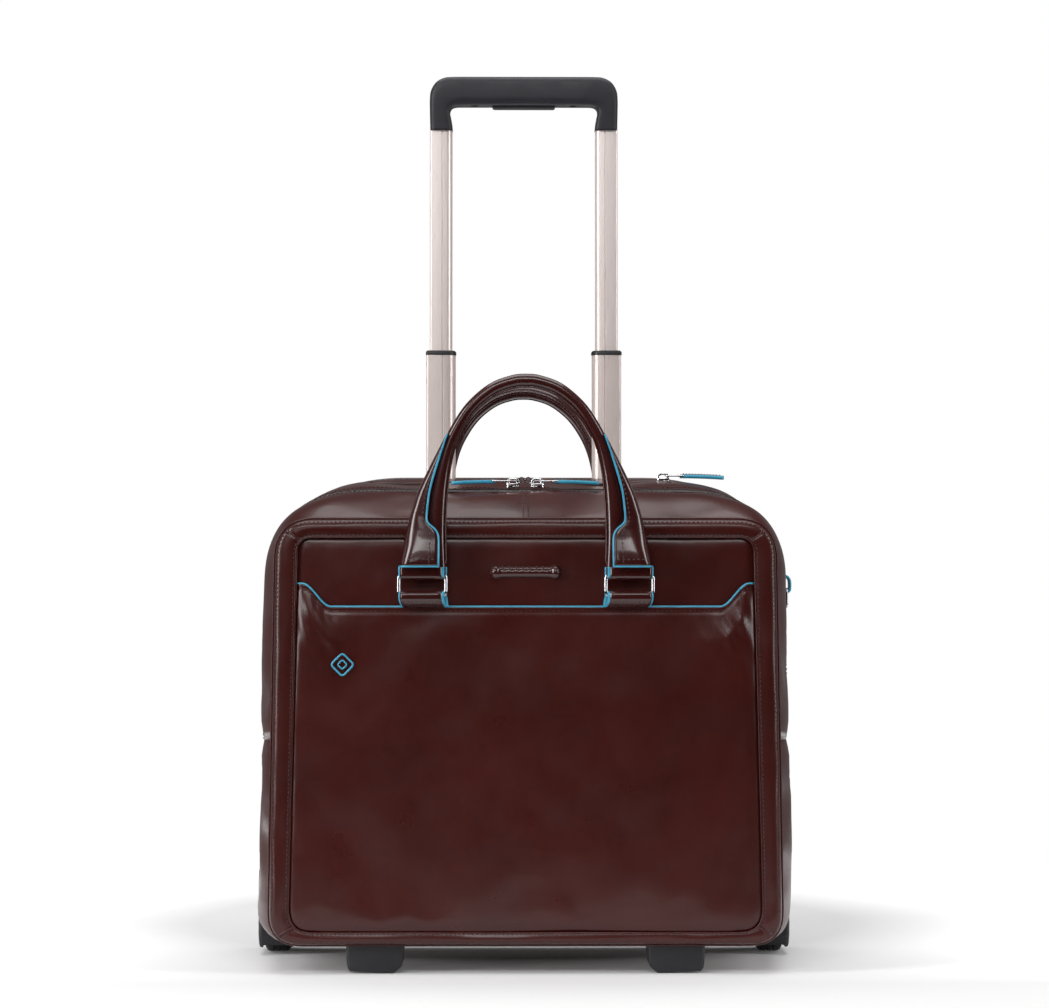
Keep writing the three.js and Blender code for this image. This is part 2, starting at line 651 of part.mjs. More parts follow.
// A wire link whose inner bar runs through the slider's bridge, and its leather strap. The origin
// is the middle of that bar.
function pullGeometry() {
  const { wire, linkWidth, strapFrom, strapTo, strapWidth } = PULL;
  const length = strapFrom + wire;
  const middle = length / 2 - wire / 2;
  const link = roundedRectangle(length, linkWidth, 0.6, middle, 0);
  link.holes.push(roundedRectangle(length - 2 * wire, linkWidth - 2 * wire, 0.3, middle, 0));
  const strap = roundedRectangle(strapTo - strapFrom, strapWidth, 1.2, (strapFrom + strapTo) / 2, 0);
  return join(
    lying(link, -wire / 2, wire / 2, { steps: 2 }),
    lying(strap, -1.2, 1.2, { bevel: 0.6, rounds: 1, steps: 3 }),
  );
}

function addZipPull(name, x, y, z, facing) {
  const zip = new THREE.Group();
  zip.position.set(x, y, z);
  zip.rotation.z = facing < 0 ? Math.PI : 0;
  group.add(zip);
  add("slider_" + name, sliderGeometry(), steel, zip);
  const pull = add("pull_" + name, pullGeometry(), turquoise, zip);
  pull.position.set(SLIDER.barX, 0, SLIDER.barZ);
}

// ---------------------------------------------------------------- assembly

addBody();
addSideLoop();

const cover = new THREE.Group();
group.add(cover);
addFront(cover);

addCarryHandle("front", RING_Y, 1, PANEL_FRONT_Y - GAP - RING_Y, cover);
addCarryHandle("back", BACK_RING_Y, -1, BACK_RING_Y - (BACK_Y + BACK_PANEL + GAP), group);
addTrolley();
addWheelsAndFeet();

const laptopZipY = (LAPTOP_ZIP.front + LAPTOP_ZIP.back) / 2;
const crownAt = (y) => sectionAt(y).top + GAP;
addZipPull("main_left", -9.5, ZIP_Y, crownAt(ZIP_Y), -1);
addZipPull("main_right", 9.5, ZIP_Y, crownAt(ZIP_Y), 1);
addZipPull("laptop", 112, laptopZipY, crownAt(laptopZipY), 1);

export default group;
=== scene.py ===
"""The looks of a rolling laptop case: polished brown leather with blue painted edges, on wheels.

Lengths in this script are millimetres until a mesh is made, in the CAD model's frame: +Z up, the front
faces -Y and the origin is on the floor under the middle of the case.
"""

import math

import bmesh
import bpy
import numpy as np
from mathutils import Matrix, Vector, noise


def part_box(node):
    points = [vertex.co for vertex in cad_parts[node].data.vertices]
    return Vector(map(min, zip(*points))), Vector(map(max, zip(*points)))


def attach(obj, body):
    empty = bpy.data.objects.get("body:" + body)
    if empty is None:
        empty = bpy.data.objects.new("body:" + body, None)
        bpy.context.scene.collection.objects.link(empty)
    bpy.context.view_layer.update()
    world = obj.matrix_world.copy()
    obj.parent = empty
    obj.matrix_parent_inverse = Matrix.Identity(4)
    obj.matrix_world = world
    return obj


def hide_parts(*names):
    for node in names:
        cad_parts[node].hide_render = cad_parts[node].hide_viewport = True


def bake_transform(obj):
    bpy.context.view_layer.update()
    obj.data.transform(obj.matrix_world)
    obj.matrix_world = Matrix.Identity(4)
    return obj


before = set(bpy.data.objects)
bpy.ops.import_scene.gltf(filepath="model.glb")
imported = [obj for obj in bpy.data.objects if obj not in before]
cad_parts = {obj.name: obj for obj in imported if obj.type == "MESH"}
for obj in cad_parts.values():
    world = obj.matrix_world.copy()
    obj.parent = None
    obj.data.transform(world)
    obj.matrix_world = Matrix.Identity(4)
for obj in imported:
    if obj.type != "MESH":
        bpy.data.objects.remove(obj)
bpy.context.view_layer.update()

MM = 0.001
SIDES = (("left", -1), ("right", 1))


def low(node):
    """The lowest corner of a CAD node, in millimetres."""
    return np.array(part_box(node)[0]) / MM


def high(node):
    """The highest corner of a CAD node, in millimetres."""
    return np.array(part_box(node)[1]) / MM


def middle(node):
    return (low(node) + high(node)) / 2


# ---------------------------------------------------------------- levels taken from the frame

SEAM_Z = high("base_gusset")[2]  # the side seams, where the main zip ends
RIM_Y = low("front_gusset")[1]  # where the front frame meets the gusset
ZIP_FRONT_Y = high("front_gusset")[1]
ZIP_BACK_Y = low("rear_gusset")[1]
ZIP_Y = (ZIP_FRONT_Y + ZIP_BACK_Y) / 2
BACK_Y = high("rear_gusset")[1]
BASE_Z = low("base_gusset")[2]
POCKET_EDGE_Z = low("front_anchor_left")[2] - 0.3
LEATHER = 3.0

# ---------------------------------------------------------------- mesh helpers


class Parts:
    """Collects vertices and faces in millimetres, and makes one object of them."""

    def __init__(self):
        self.verts, self.faces, self.slots = [], [], []

    def add(self, verts, faces, slot=0):
        base = len(self.verts)
        self.verts.extend(np.asarray(verts, float).reshape(-1, 3).tolist())
        self.faces.extend([base + i for i in face] for face in faces)
        self.slots.extend([slot] * len(faces))

    def grid(self, rows, slot=0, close_columns=False, close_rows=False, caps=False):
        """A sheet of quads through an array of rows, each an array of points."""
        rows = np.asarray(rows, float)
        r_count, c_count = rows.shape[:2]
        faces = []
        for r in range(r_count if close_rows else r_count - 1):
            for c in range(c_count if close_columns else c_count - 1):
                r2, c2 = (r + 1) % r_count, (c + 1) % c_count
                faces.append([r * c_count + c, r * c_count + c2, r2 * c_count + c2, r2 * c_count + c])
        if caps:
            faces.append(list(range(c_count))[::-1])
            faces.append([(r_count - 1) * c_count + c for c in range(c_count)])
        self.add(rows, faces, slot)

    def shell(self, outer, inner, keep=None, closed=False, slots=(0, 1, 0)):
        """Two skins and the walls between them wherever a kept cell has no kept neighbour."""
        rows, cols = outer.shape[:2]
        cells = cols if closed else cols - 1
        if keep is None:
            keep = np.ones((rows - 1, cells), bool)
        layer = rows * cols
        base = len(self.verts)
        self.verts.extend(outer.reshape(-1, 3).tolist())
        self.verts.extend(inner.reshape(-1, 3).tolist())
        for r, c in zip(*np.nonzero(keep)):
            c2 = (c + 1) % cols
            corners = [(r, c), (r, c2), (r + 1, c2), (r + 1, c)]
            out = [base + i * cols + j for i, j in corners]
            self.faces.append(out)
            self.slots.append(slots[0])
            self.faces.append([layer + v for v in reversed(out)])
            self.slots.append(slots[1])
            around = [(r - 1, c), (r, c + 1), (r + 1, c), (r, c - 1)]
            for side, (nr, nc) in enumerate(around):
                nc = nc % cells if closed else nc
                if 0 <= nr < rows - 1 and 0 <= nc < cells and keep[nr, nc]:
                    continue
                p, q = out[side], out[(side + 1) % 4]
                self.faces.append([q, p, layer + p, layer + q])
                self.slots.append(slots[2])

    def make(self, name, materials, weld=0.0, flat=False):
        mesh = bpy.data.meshes.new(name)
        mesh.from_pydata([tuple(c * MM for c in v) for v in self.verts], [], self.faces)
        for material in materials:
            mesh.materials.append(material)
        mesh.polygons.foreach_set("material_index", self.slots)
        work = bmesh.new()
        work.from_mesh(mesh)
        bmesh.ops.delete(work, geom=[v for v in work.verts if not v.link_faces], context="VERTS")
        if weld:
            bmesh.ops.remove_doubles(work, verts=work.verts, dist=weld * MM)
        bmesh.ops.recalc_face_normals(work, faces=work.faces)
        work.to_mesh(mesh)
        work.free()
        mesh.polygons.foreach_set("use_smooth", [not flat] * len(mesh.polygons))
        piece = bpy.data.objects.new(name, mesh)
        bpy.context.scene.collection.objects.link(piece)
        return piece


def sharpen(piece, angle=35):
    """Keeps edges sharper than an angle sharp in the shading."""
    work = bmesh.new()
    work.from_mesh(piece.data)
    for edge in work.edges:
        if len(edge.link_faces) == 2:
            edge.smooth = edge.calc_face_angle(0) < math.radians(angle)
    work.to_mesh(piece.data)
    work.free()
    return piece


def resample(path, step, closed=False):
    """Points a step apart along a path, whose ends are kept."""
    path = np.asarray(path, float)
    if closed:
        path = np.vstack([path, path[:1]])
    run = np.concatenate([[0], np.cumsum(np.linalg.norm(np.diff(path, axis=0), axis=1))])
    count = max(2, round(run[-1] / step))
    at = np.linspace(0, run[-1], count + 1)
    points = np.stack([np.interp(at, run, path[:, k]) for k in range(3)], axis=1)
    return points[:-1] if closed else points


def smooth_path(points, step=3.0, closed=False):
    """A Catmull-Rom curve through points, sampled a step apart."""
    points = np.asarray(points, float)
    count = len(points)
    out = []
    for i in range(count if closed else count - 1):
        if closed:
            p = [points[(i + k) % count] for k in (-1, 0, 1, 2)]
        else:
            p = [points[min(max(i + k, 0), count - 1)] for k in (-1, 0, 1, 2)]
        for t in np.linspace(0, 1, 12, endpoint=False):
            out.append(0.5 * (2 * p[1] + (p[2] - p[0]) * t + (2 * p[0] - 5 * p[1] + 4 * p[2] - p[3]) * t ** 2
                              + (3 * p[1] - p[0] - 3 * p[2] + p[3]) * t ** 3))
    if not closed:
        out.append(points[-1])
    return resample(out, step, closed)


def tangents(path, closed=False):
    path = np.asarray(path, float)
    if closed:
        t = np.roll(path, -1, axis=0) - np.roll(path, 1, axis=0)
    else:
        t = np.gradient(path, axis=0)
    return t / np.maximum(np.linalg.norm(t, axis=1, keepdims=True), 1e-9)


def frames(path, up, closed=False):
    """Two unit vectors square to a path at each point: across, and the one nearest to up."""
    t = tangents(path, closed)
    up = np.broadcast_to(np.asarray(up, float), t.shape)
    across = np.cross(t, up)
    across /= np.maximum(np.linalg.norm(across, axis=1, keepdims=True), 1e-9)
    return across, np.cross(across, t)


def circle_section(radius, sides=10, flat=1.0):
    a = np.linspace(0, 2 * math.pi, sides, endpoint=False)
    return np.stack([radius * np.cos(a), radius * flat * np.sin(a)], axis=1)


def sweep(parts, path, section, up, slot=0, closed=False, scale=None):
    """A closed section carried along a path; its first number goes across and its second up."""
    across, lift = frames(path, up, closed)
    section = np.asarray(section, float)
    scale = np.ones((len(path), 2)) if scale is None else np.asarray(scale, float)
    rows = [
        p + np.outer(section[:, 0] * s[0], a) + np.outer(section[:, 1] * s[1], u)
        for p, a, u, s in zip(np.asarray(path, float), across, lift, scale)
    ]
    parts.grid(rows, slot, close_columns=True, close_rows=closed, caps=not closed)


def stitch(parts, path, normal, pitch=3.4, length=2.3, width=0.75, lift=0.1, closed=False, slot=0, slant=0.0):
    """A row of thread stitches along a path, each a small pointed pod lying on the surface."""
    path = np.asarray(path, float)
    points = resample(path, pitch, closed)
    t = tangents(points, closed)
    if np.ndim(normal) == 2:
        full = np.asarray(normal, float)
        nearest = [int(np.argmin(((path - p) ** 2).sum(axis=1))) for p in points]
        n = full[nearest]
    else:
        n = np.broadcast_to(np.asarray(normal, float), t.shape)
    across = np.cross(t, n)
    across /= np.maximum(np.linalg.norm(across, axis=1, keepdims=True), 1e-9)
    n = np.cross(across, t)
    ring = [(math.cos(a), math.sin(a)) for a in np.linspace(0, 2 * math.pi, 5, endpoint=False)]
    for p, along, side, out in zip(points, t, across, n):
        along = along + side * slant
        centre = p + out * lift
        verts = [centre - along * length / 2 - out * 0.3]
        for end in (-0.3, 0.3):
            verts += [centre + along * length * end + side * c * width / 2 + out * s * width / 2 for c,
                      s in ring]
        verts.append(centre + along * length / 2 - out * 0.3)
        faces = [[0, 1 + (i + 1) % 5, 1 + i] for i in range(5)]
        faces += [[1 + i, 1 + (i + 1) % 5, 6 + (i + 1) % 5, 6 + i] for i in range(5)]
        faces += [[6 + i, 6 + (i + 1) % 5, 11] for i in range(5)]
        parts.add(verts, faces, slot)


def wobble(points, size, amount, seed=0.0):
    """A smooth random height for each point, up to about an amount, with bumps of a given size."""
    flat = np.asarray(points, float).reshape(-1, 3)
    out = [noise.noise(Vector(p / size) + Vector((seed, -seed, 2 * seed))) for p in flat]
    return amount * np.array(out).reshape(np.shape(points)[:-1])


def normals_of(rows, closed=False):
    """Outward-or-inward unit normals of a grid of points."""
    rows = np.asarray(rows, float)
    down = np.gradient(rows, axis=0)
    if closed:
        along = np.roll(rows, -1, axis=1) - np.roll(rows, 1, axis=1)
    else:
        along = np.gradient(rows, axis=1)
    n = np.cross(along, down)
    return n / np.maximum(np.linalg.norm(n, axis=2, keepdims=True), 1e-9)


# ---------------------------------------------------------------- materials


class Nodes:
    """A material's node tree, with a short way to add and join nodes."""

    def __init__(self, name):
        self.material = bpy.data.materials.new(name)
        self.material.use_nodes = True
        self.tree = self.material.node_tree
        self.shader = next(n for n in self.tree.nodes if n.type == "BSDF_PRINCIPLED")
        self.place = self.node("ShaderNodeTexCoord").outputs["Object"]

    def node(self, kind, **inputs):
        made = self.tree.nodes.new(kind)
        for key, value in inputs.items():
            if key.startswith("_"):
                setattr(made, key[1:], value)
            else:
                self.put(made.inputs[key.replace("__", " ")], value)
        return made

    def put(self, socket, value):
        if isinstance(value, bpy.types.NodeSocket):
            self.tree.links.new(value, socket)
        else:
            socket.default_value = value

    def noise(self, size, detail=3.0, place=None):
        """Noise with features of about a size in millimetres."""
        made = self.node("ShaderNodeTexNoise", Scale=1 / (size * MM), Detail=detail)
        self.put(made.inputs["Vector"], place or self.place)
        return made.outputs["Fac"]

    def ramp(self, value, low_in, high_in, low_out, high_out):
        made = self.node("ShaderNodeMapRange")
        for key, number in (("From Min", low_in), ("From Max", high_in), ("To Min", low_out),
                            ("To Max", high_out)):
            made.inputs[key].default_value = number
        self.put(made.inputs["Value"], value)
        return made.outputs["Result"]

    def mix(self, factor, a, b):
        made = self.node("ShaderNodeMix", _data_type="RGBA")
        self.put(made.inputs[0], factor)
        self.put(made.inputs[6], a)
        self.put(made.inputs[7], b)
        return made.outputs[2]

    def math(self, operation, a, b=0.0):
        made = self.node("ShaderNodeMath", _operation=operation)
        self.put(made.inputs[0], a)
        self.put(made.inputs[1], b)
        return made.outputs[0]

    def bump(self, height, distance, strength=1.0, under=None):
        made = self.node("ShaderNodeBump", Height=height, Distance=distance * MM, Strength=strength)
        if under is not None:
            self.put(made.inputs["Normal"], under)
        return made.outputs["Normal"]

    def set(self, **inputs):
        for key, value in inputs.items():
            self.put(self.shader.inputs[key.replace("__", " ")], value)
        return self.material


def srgb(r, g, b):
    """A linear colour from eight-bit sRGB numbers."""
    def linear(c):
        c /= 255
        return c / 12.92 if c <= 0.04045 else ((c + 0.055) / 1.055) ** 2.4
    return (linear(r), linear(g), linear(b), 1.0)


def leather_material(name, dark, light, roughness=0.3, grain=0.5, finish=0.12):
    """Polished calf leather: cloudy dye, fine pores, faint creases and a thin finish over them."""
    m = Nodes(name)
    clouds = m.ramp(m.noise(80, 3), 0.1, 0.9, 0.0, 0.85)
    mottle = m.ramp(m.noise(7, 3), 0.1, 0.9, -0.1, 0.35)
    colour = m.mix(m.math("ADD", clouds, mottle), dark, light)
    pores = m.noise(0.9, 2)
    creases = m.noise(14, 5)
    rough = m.ramp(m.noise(26, 3), 0.0, 1.0, roughness - 0.08, roughness + 0.1)
    fine = m.bump(pores, 0.02, grain)
    surface = m.bump(creases, 0.3, 0.2, fine)
    return m.set(Base__Color=colour, Roughness=rough, Normal=surface, Coat__Weight=finish,
                 Coat__Roughness=0.13, Specular__IOR__Level=0.38)


def edge_paint_material():
    """Blue edge paint: a thick, slightly uneven acrylic."""
    m = Nodes("edge_paint_blue")
    colour = m.mix(m.noise(9, 3), srgb(40, 140, 178), srgb(72, 178, 208))
    return m.set(Base__Color=colour, Roughness=m.ramp(m.noise(3, 2), 0.3, 0.7, 0.28, 0.45),
                 Normal=m.bump(m.noise(1.5, 3), 0.12, 0.6), Coat__Weight=0.3, Coat__Roughness=0.2)


def thread_material(name, dark, light):
    m = Nodes(name)
    twist = m.node("ShaderNodeTexWave", Scale=2600.0, Distortion=1.0, _bands_direction="DIAGONAL")
    m.put(twist.inputs["Vector"], m.place)
    return m.set(Base__Color=m.mix(twist.outputs["Fac"], dark, light), Roughness=0.6,
                 Normal=m.bump(twist.outputs["Fac"], 0.12, 0.8), Sheen__Weight=0.2)


def weave_material(name, dark, light, pitch):
    """A plain woven cloth: two crossed waves, one over the other."""
    m = Nodes(name)
    waves = []
    for direction in ("X", "Z"):
        wave = m.node("ShaderNodeTexWave", Scale=0.314 / (pitch * MM), Distortion=0.4,
                      _bands_direction=direction, _wave_profile="SIN")
        m.put(wave.inputs["Vector"], m.place)
        waves.append(wave.outputs["Fac"])
    cloth = m.math("MULTIPLY", waves[0], waves[1])
    colour = m.mix(m.math("ADD", cloth, m.ramp(m.noise(30, 2), 0.3, 0.7, -0.1, 0.2)), dark, light)
    return m.set(Base__Color=colour, Roughness=0.85, Normal=m.bump(cloth, 0.2, 0.7), Sheen__Weight=0.35)


def plastic_material(name, colour, lighter, roughness=0.42, texture=0.5):
    """Moulded plastic with a fine spark-eroded texture."""
    m = Nodes(name)
    grain = m.noise(0.7, 2)
    return m.set(Base__Color=m.mix(m.noise(25, 3), colour, lighter),
                 Roughness=m.ramp(m.noise(12, 4), 0.3, 0.7, roughness - 0.06, roughness + 0.08),
                 Normal=m.bump(grain, 0.06, texture), Specular__IOR__Level=0.45)


def rubber_material():
    m = Nodes("wheel_rubber")
    scuffs = m.ramp(m.noise(9, 6), 0.52, 0.7, 0, 1)
    return m.set(Base__Color=m.mix(scuffs, srgb(27, 26, 29), srgb(52, 50, 52)), Roughness=0.72,
                 Normal=m.bump(m.noise(1.2, 4), 0.15, 0.7))


def brushed_material(name, dark, light, roughness=0.3):
    """Anodised aluminium drawn along Z: fine lengthways lines."""
    m = Nodes(name)
    stretch = m.node("ShaderNodeMapping")
    stretch.inputs["Scale"].default_value = (1, 1, 0.02)
    m.put(stretch.inputs["Vector"], m.place)
    lines = m.noise(0.5, 3, stretch.outputs["Vector"])
    return m.set(Base__Color=m.mix(lines, dark, light), Metallic=0.4,
                 Roughness=m.ramp(lines, 0.3, 0.7, roughness - 0.05, roughness + 0.1),
                 Normal=m.bump(lines, 0.02, 0.35))


def chrome_material(name="polished_steel", tint=(214, 214, 216), roughness=0.09):
    m = Nodes(name)
    return m.set(Base__Color=srgb(*tint), Metallic=1.0,
                 Roughness=m.ramp(m.noise(5, 4), 0.3, 0.7, roughness, roughness + 0.1),
                 Normal=m.bump(m.noise(2.5, 3), 0.02, 0.3))


LEATHER_BODY = leather_material("leather_body", srgb(48, 15, 12), srgb(69, 22, 18))
LEATHER_HANDLE = leather_material("leather_handle", srgb(46, 16, 14), srgb(64, 22, 20), 0.24, 0.25, 0.6)
EDGE_BLUE = edge_paint_material()
THREAD = thread_material("thread_brown", srgb(36, 15, 14), srgb(76, 38, 34))
LINING = weave_material("lining_weave", srgb(22, 52, 66), srgb(44, 92, 112), 1.1)
TAPE = weave_material("zip_tape_weave", srgb(24, 12, 11), srgb(52, 28, 26), 0.7)
COIL = plastic_material("zip_coil", srgb(34, 18, 16), srgb(52, 30, 27), 0.35, 0.2)
BLACK = plastic_material("black_plastic", srgb(24, 23, 27), srgb(33, 32, 37))
GRIP = plastic_material("grip_plastic", srgb(34, 33, 39), srgb(44, 43, 50), 0.5, 0.8)
RUBBER = rubber_material()
TUBE_UPPER = brushed_material("tube_upper", srgb(232, 216, 212), srgb(246, 236, 232), 0.32)
TUBE_LOWER = brushed_material("tube_lower", srgb(222, 206, 201), srgb(238, 226, 221), 0.32)
STEEL = chrome_material()
DARK_STEEL = chrome_material("dark_steel", (70, 68, 70), 0.3)
BOARD = plastic_material("fibre_board", srgb(36, 36, 38), srgb(52, 50, 50), 0.7, 1.0)

# ---------------------------------------------------------------- how pieces go onto their bodies


def follow_cover(piece):
    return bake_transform(piece)


def finish_piece(piece, body, replaced=()):
    """Hides the CAD nodes a piece stands for and gives it its body; a cover_fold piece only has its place
    baked in.
    """
    if body == "cover_fold":
        follow_cover(piece)
    else:
        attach(piece, body)
    if replaced:
        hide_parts(*replaced)
    return piece


# ---------------------------------------------------------------- the leather body's shape

# Depth, half-widths at the bottom and top, crown height, bottom and top corner radii.
STATIONS = np.array([
    [RIM_Y, 199, 194, 351, 26, 32],
    [-62, 207, 202, 366, 28, 62],
    [ZIP_Y, 209.5, 204, 376, 28, 80],
    [22, 210.5, 204.5, 382, 28, 96],
    [BACK_Y, 207, 202, 386, 28, 104],
])
LAPTOP_ZIP = {"left": low("laptop_zip_tape")[0] - 0.3, "right": high("laptop_zip_tape")[0] + 0.3}
BEZEL_HALF = high("top_bezel")[0] + 0.3
TOP_STEPS = 16
CORNER_STEPS = 26
BOTTOM_STEPS = 22
BOTTOM_CORNER_STEPS = 8
ROOM_STEPS = 3  # up the side as far as the wheel housing's top
LOW_SIDE_STEPS = 17
HIGH_SIDE_STEPS = 18
ROOM_TOP = high("wheel_housing_right")[2] + 0.3
ROOM_INDEX = BOTTOM_STEPS + BOTTOM_CORNER_STEPS + ROOM_STEPS
SEAM_INDEX = ROOM_INDEX + LOW_SIDE_STEPS  # on the right half, counted from the bottom's middle
CORNER_INDEX = SEAM_INDEX + HIGH_SIDE_STEPS
HALF_COUNT = CORNER_INDEX + CORNER_STEPS + TOP_STEPS


def section_at(y):
    """The station numbers at any depth, on a smooth curve through the stations."""
    depths = STATIONS[:, 0]
    slopes = np.gradient(STATIONS[:, 1:], depths, axis=0)
    y = min(max(y, depths[0]), depths[-1])
    i = min(int(np.searchsorted(depths, y, side="right")) - 1, len(depths) - 2)
    span = depths[i + 1] - depths[i]
    t = (y - depths[i]) / span
    a, b = STATIONS[i, 1:], STATIONS[i + 1, 1:]
    return (a * (2 * t ** 3 - 3 * t ** 2 + 1) + b * (3 * t ** 2 - 2 * t ** 3)
            + span * (slopes[i] * (t ** 3 - 2 * t ** 2 + t) + slopes[i + 1] * (t ** 3 - t ** 2)))


def curve2(a, b, c, steps):
    t = np.linspace(0, 1, steps + 1)[:, None]
    return (1 - t) ** 2 * a + 2 * t * (1 - t) * b + t ** 2 * c


def half_loop(section, bottom):
    """The right half of a cross-section, from the bottom's middle up to the top's middle."""
    b, t, top, rb, rt = section

    def side(z):
        return b - (b - t) * (z - bottom) / (top - bottom)

    x = np.linspace(0, b - rb, BOTTOM_STEPS + 1)
    runs = [np.stack([x, np.full_like(x, bottom)], axis=1)]
    runs.append(curve2(np.array([b - rb, bottom]), np.array([b, bottom]),
                       np.array([side(bottom + rb), bottom + rb]), BOTTOM_CORNER_STEPS)[1:])
    levels = [bottom + rb, ROOM_TOP, SEAM_Z, top - rt]
    for z0, z1, steps in zip(levels, levels[1:], (ROOM_STEPS, LOW_SIDE_STEPS, HIGH_SIDE_STEPS)):
        z = np.linspace(z0, z1, steps + 1)[1:]
        runs.append(np.stack([side(z), z], axis=1))
    runs.append(curve2(np.array([side(top - rt), top - rt]), np.array([t, top]),
                       np.array([t - rt, top]), CORNER_STEPS)[1:])
    x = np.linspace(t - rt, 0, TOP_STEPS + 1)[1:]
    runs.append(np.stack([x, np.full_like(x, top)], axis=1))
    return np.vstack(runs)


def loop_at(y, sink=0.0, bottom=None):
    """A whole cross-section at a depth, sunk by an inset: from the bottom's middle, anticlockwise."""
    b, t, top, rb, rt = section_at(y)
    bottom = BASE_Z if bottom is None else bottom
    half = half_loop([b - sink, t - sink, top - sink, max(2, rb - sink), max(2, rt - sink)], bottom + sink)
    other = half[1:-1][::-1] * [-1, 1]
    flat = np.vstack([half, other])
    return np.stack([flat[:, 0], np.full(len(flat), float(y)), flat[:, 1]], axis=1)


LOOP_COUNT = 2 * HALF_COUNT
LEFT_SEAM_INDEX = LOOP_COUNT - SEAM_INDEX


def relaxed(rows, held, fullness, cap, closed=False, frames=14):
    """The grid after a short cloth simulation: held points stay, the rest settle into soft folds."""
    cloth = Parts()
    cloth.grid(rows, close_columns=closed)
    piece = cloth.make("cloth", [])
    group = piece.vertex_groups.new(name="held")
    used = np.unique(np.array([i for face in cloth.faces for i in face]))
    group.add([int(i) for i, _ in enumerate(used) if held.reshape(-1)[used[i]]], 1.0, "REPLACE")
    modifier = piece.modifiers.new("cloth", "CLOTH")
    settings = modifier.settings
    settings.quality = 6
    settings.mass = 0.5
    settings.tension_stiffness = settings.compression_stiffness = 25
    settings.shear_stiffness = 12
    settings.bending_stiffness = 20
    settings.vertex_group_mass = "held"
    settings.shrink_min = -fullness
    settings.use_pressure = True
    settings.uniform_pressure_force = 0.25
    settings.effector_weights.gravity = 0
    modifier.point_cache.frame_end = frames + 1
    scene = bpy.context.scene
    for step in range(1, frames + 1):
        scene.frame_set(step)
    graph = bpy.context.evaluated_depsgraph_get()
    moved = piece.evaluated_get(graph).data
    after = np.empty(len(moved.vertices) * 3)
    moved.vertices.foreach_get("co", after)
    after = after.reshape(-1, 3) / MM
    result = rows.reshape(-1, 3).copy()
    shift = after - result[used]
    far = np.maximum(np.linalg.norm(shift, axis=1, keepdims=True), 1e-9)
    result[used] += shift * np.minimum(1, cap / far)
    bpy.data.objects.remove(piece)
    scene.frame_set(1)
    return result.reshape(rows.shape)


def gusset_rows(y_list, crown, seed):
    """Cross-sections at several depths, slack between their seams and pinched where the zip ends."""
    rows = np.stack([loop_at(y) for y in y_list])
    y0, y1 = y_list[0], y_list[-1]
    across = np.clip((np.array(y_list) - y0) / (y1 - y0), 0, 1)[:, None]
    n = normals_of(rows, closed=True)
    if n[0, SEAM_INDEX] @ [1, 0, 0] < 0:
        n = -n
    puff = crown * (np.sin(math.pi * across) ** 0.7 - 1)
    pinch = 2.2 * np.exp(-((rows[:, :, 2] - SEAM_Z) / 8) ** 2) * (np.abs(rows[:, :, 0]) > 150)
    edge = np.minimum(1, np.minimum(across, 1 - across) * 6)
    lift = puff - pinch + (wobble(rows, 70, 1.5, seed) + wobble(rows, 24, 0.5, seed + 3)) * edge
    lift = np.where(rows[:, :, 2] < BASE_Z + 12, np.minimum(lift, 0.2), lift)
    rows = rows + n * lift[:, :, None]
    held = np.zeros(rows.shape[:2], bool)
    held[[0, -1]] = True
    held[:, [SEAM_INDEX, LEFT_SEAM_INDEX]] = True
    held |= rows[:, :, 2] < BASE_Z + 2
    return relaxed(rows, held, 0.004, 2.0, closed=True)


def band(rows, keep_columns):
    """Which cells of closed cross-sections lie between kept columns."""
    keep = np.zeros((rows - 1, LOOP_COUNT), bool)
    keep[:, keep_columns] = True
    return keep


LOWER_CELLS = [c for c in range(LOOP_COUNT) if c < SEAM_INDEX or c >= LEFT_SEAM_INDEX]
UPPER_CELLS = [c for c in range(LOOP_COUNT) if SEAM_INDEX <= c < LEFT_SEAM_INDEX]


def eased(a, b, count):
    """Numbers from a to b, closer together near both ends."""
    t = np.linspace(0, 1, count)
    return a + (b - a) * (0.5 - 0.5 * np.cos(math.pi * t)) * 0.55 + (b - a) * t * 0.45


FRONT_DEPTHS = eased(RIM_Y + 0.3, ZIP_FRONT_Y, 15)
ROOM_FRONT = low("wheel_housing_right")[1] - 0.3
BACK_DEPTHS = np.concatenate([
    eased(ZIP_BACK_Y, low("laptop_zip_tape")[1] - 0.3, 12),
    np.linspace(high("laptop_zip_tape")[1] + 0.3, ROOM_FRONT, 3),
    np.linspace(ROOM_FRONT, low("top_bezel")[1] - 0.3, 6)[1:],
    eased(low("top_bezel")[1], BACK_Y, 9)[1:],
])


def inner_skin(y_list, wall=LEATHER):
    return np.stack([loop_at(y, 1.0 + wall) for y in y_list])


